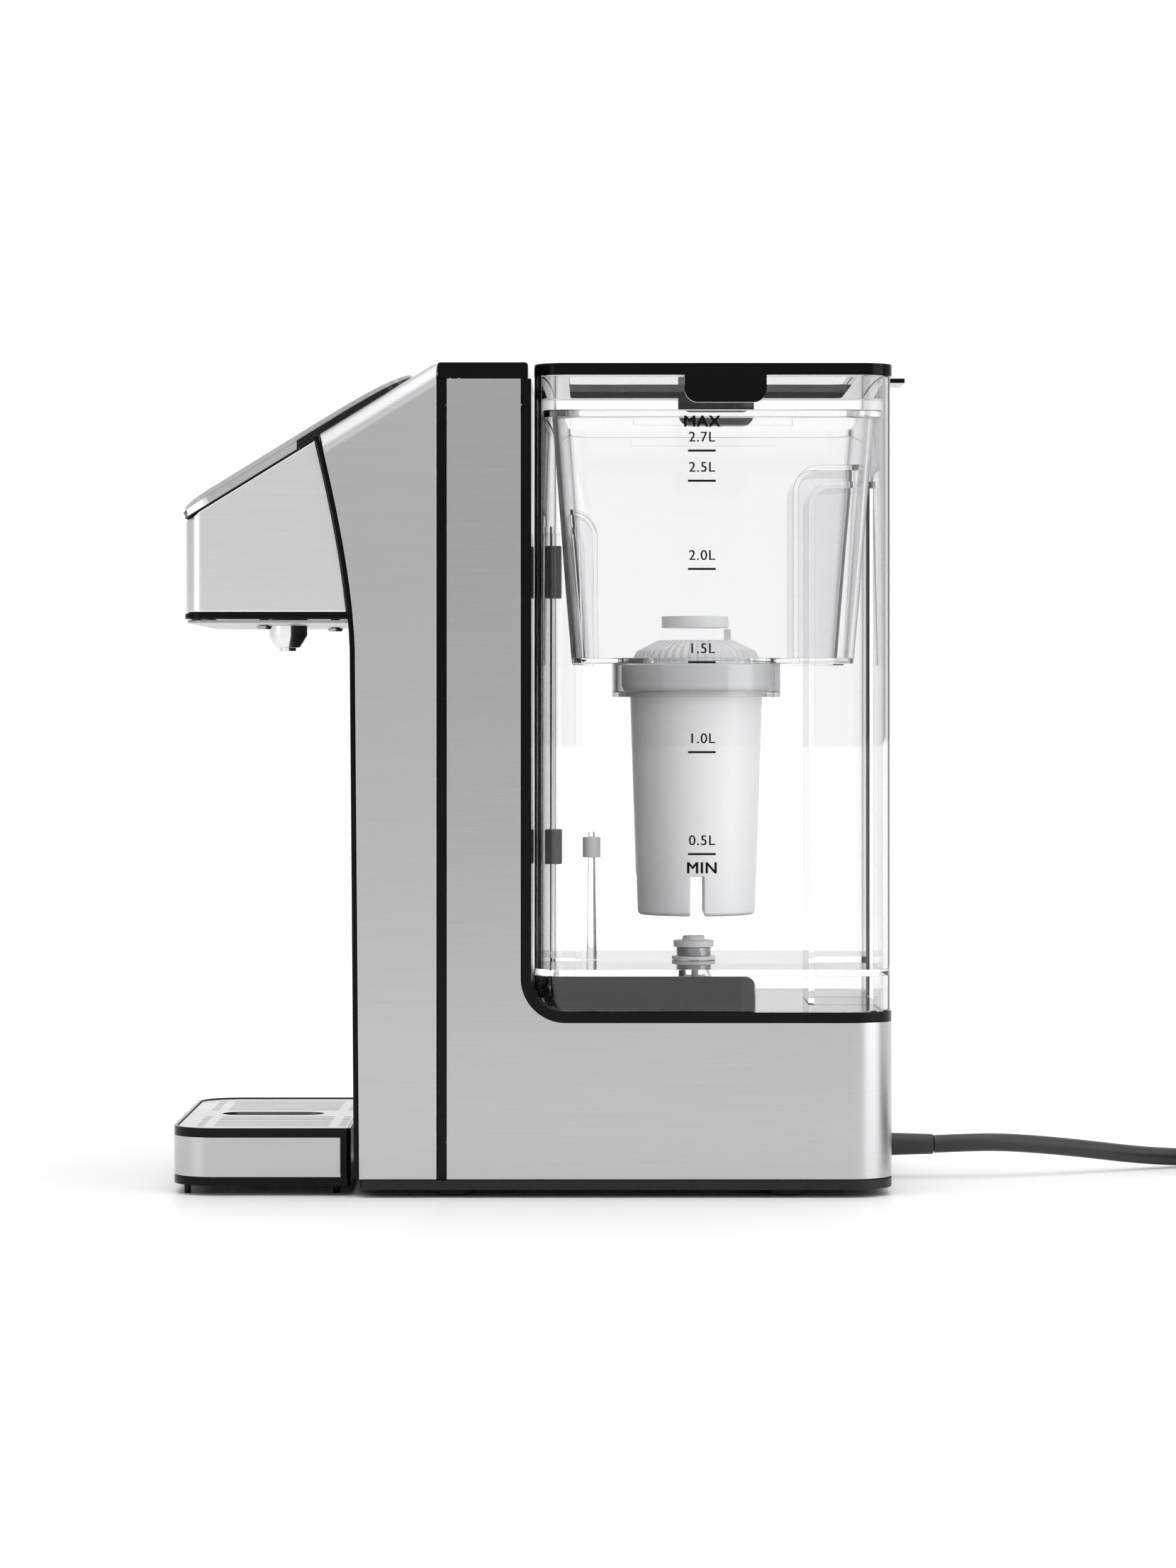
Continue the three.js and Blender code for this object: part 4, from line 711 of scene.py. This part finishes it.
# ---------------------------------------------------------------- hopper and lid
# The clear hopper hangs inside the tank's mouth on its flange. A black gloss lid
# frame with a clear window is hinged on it, with a thumb tab at the back.
finished("hopper", hopper_clear, "hopper", edge=0.0009, steps=4)
finished("lid_window", hopper_clear, "lid", edge=0.0004)
finished("lid_frame", black_gloss, "lid", edge=0.0006, steps=3)

# ---------------------------------------------------------------- filter cartridge
# A white translucent cartridge under the hopper, with a ribbed cap and a strap
# ring that folds up to pull it out.
finished("filter_body", filter_white, "filter", edge=0.0005)
CAP_RIBS = 48
RIB_HIGH = 0.0006
cap_ribbed, tree, shader = new_material("cap_ribbed", Roughness=0.4, Subsurface_Weight=0.1,
                                        Base_Color=(0.74, 0.74, 0.74))
at = tree.nodes.new("ShaderNodeTexCoord").outputs["Object"]
cap_low, cap_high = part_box("filter_cap")
from_axis = worked_out(tree, "ShaderNodeVectorMath", "SUBTRACT", at, (cap_low + cap_high) / 2)
sides = tree.nodes.new("ShaderNodeSeparateXYZ")
tree.links.new(from_axis, sides.inputs[0])
round_axis = worked_out(tree, "ShaderNodeMath", "ARCTAN2", sides.outputs["Y"], sides.outputs["X"])
ribs_round = worked_out(tree, "ShaderNodeMath", "MULTIPLY", round_axis, CAP_RIBS)
ribs = worked_out(tree, "ShaderNodeMath", "SINE", ribs_round)
bump_on(tree, shader, ribs, 0.5, RIB_HIGH)
finished("filter_cap", cap_ribbed, "filter", edge=0.0004)
finished("pull_ring", filter_white, "pull_ring", edge=0.0003)

# ---------------------------------------------------------------- drip tray and grid
# A black tub in a steel band slides in under the spout, with a slotted brushed
# steel grid lying in its rim.
grid_steel = brushed_metal("grid_steel", (0.52, 0.52, 0.525), (0.63, 0.63, 0.635), 0.24, 0.32,
                           800, 18, 0.06)
finished("tray_tub", black_gloss, "drip_tray", edge=0.0005)
finished("tray_band", brushed_steel, "drip_tray", edge=0.0005)
finished("drip_grid", grid_steel, "drip_grid", edge=0)

# ---------------------------------------------------------------- size
low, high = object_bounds()
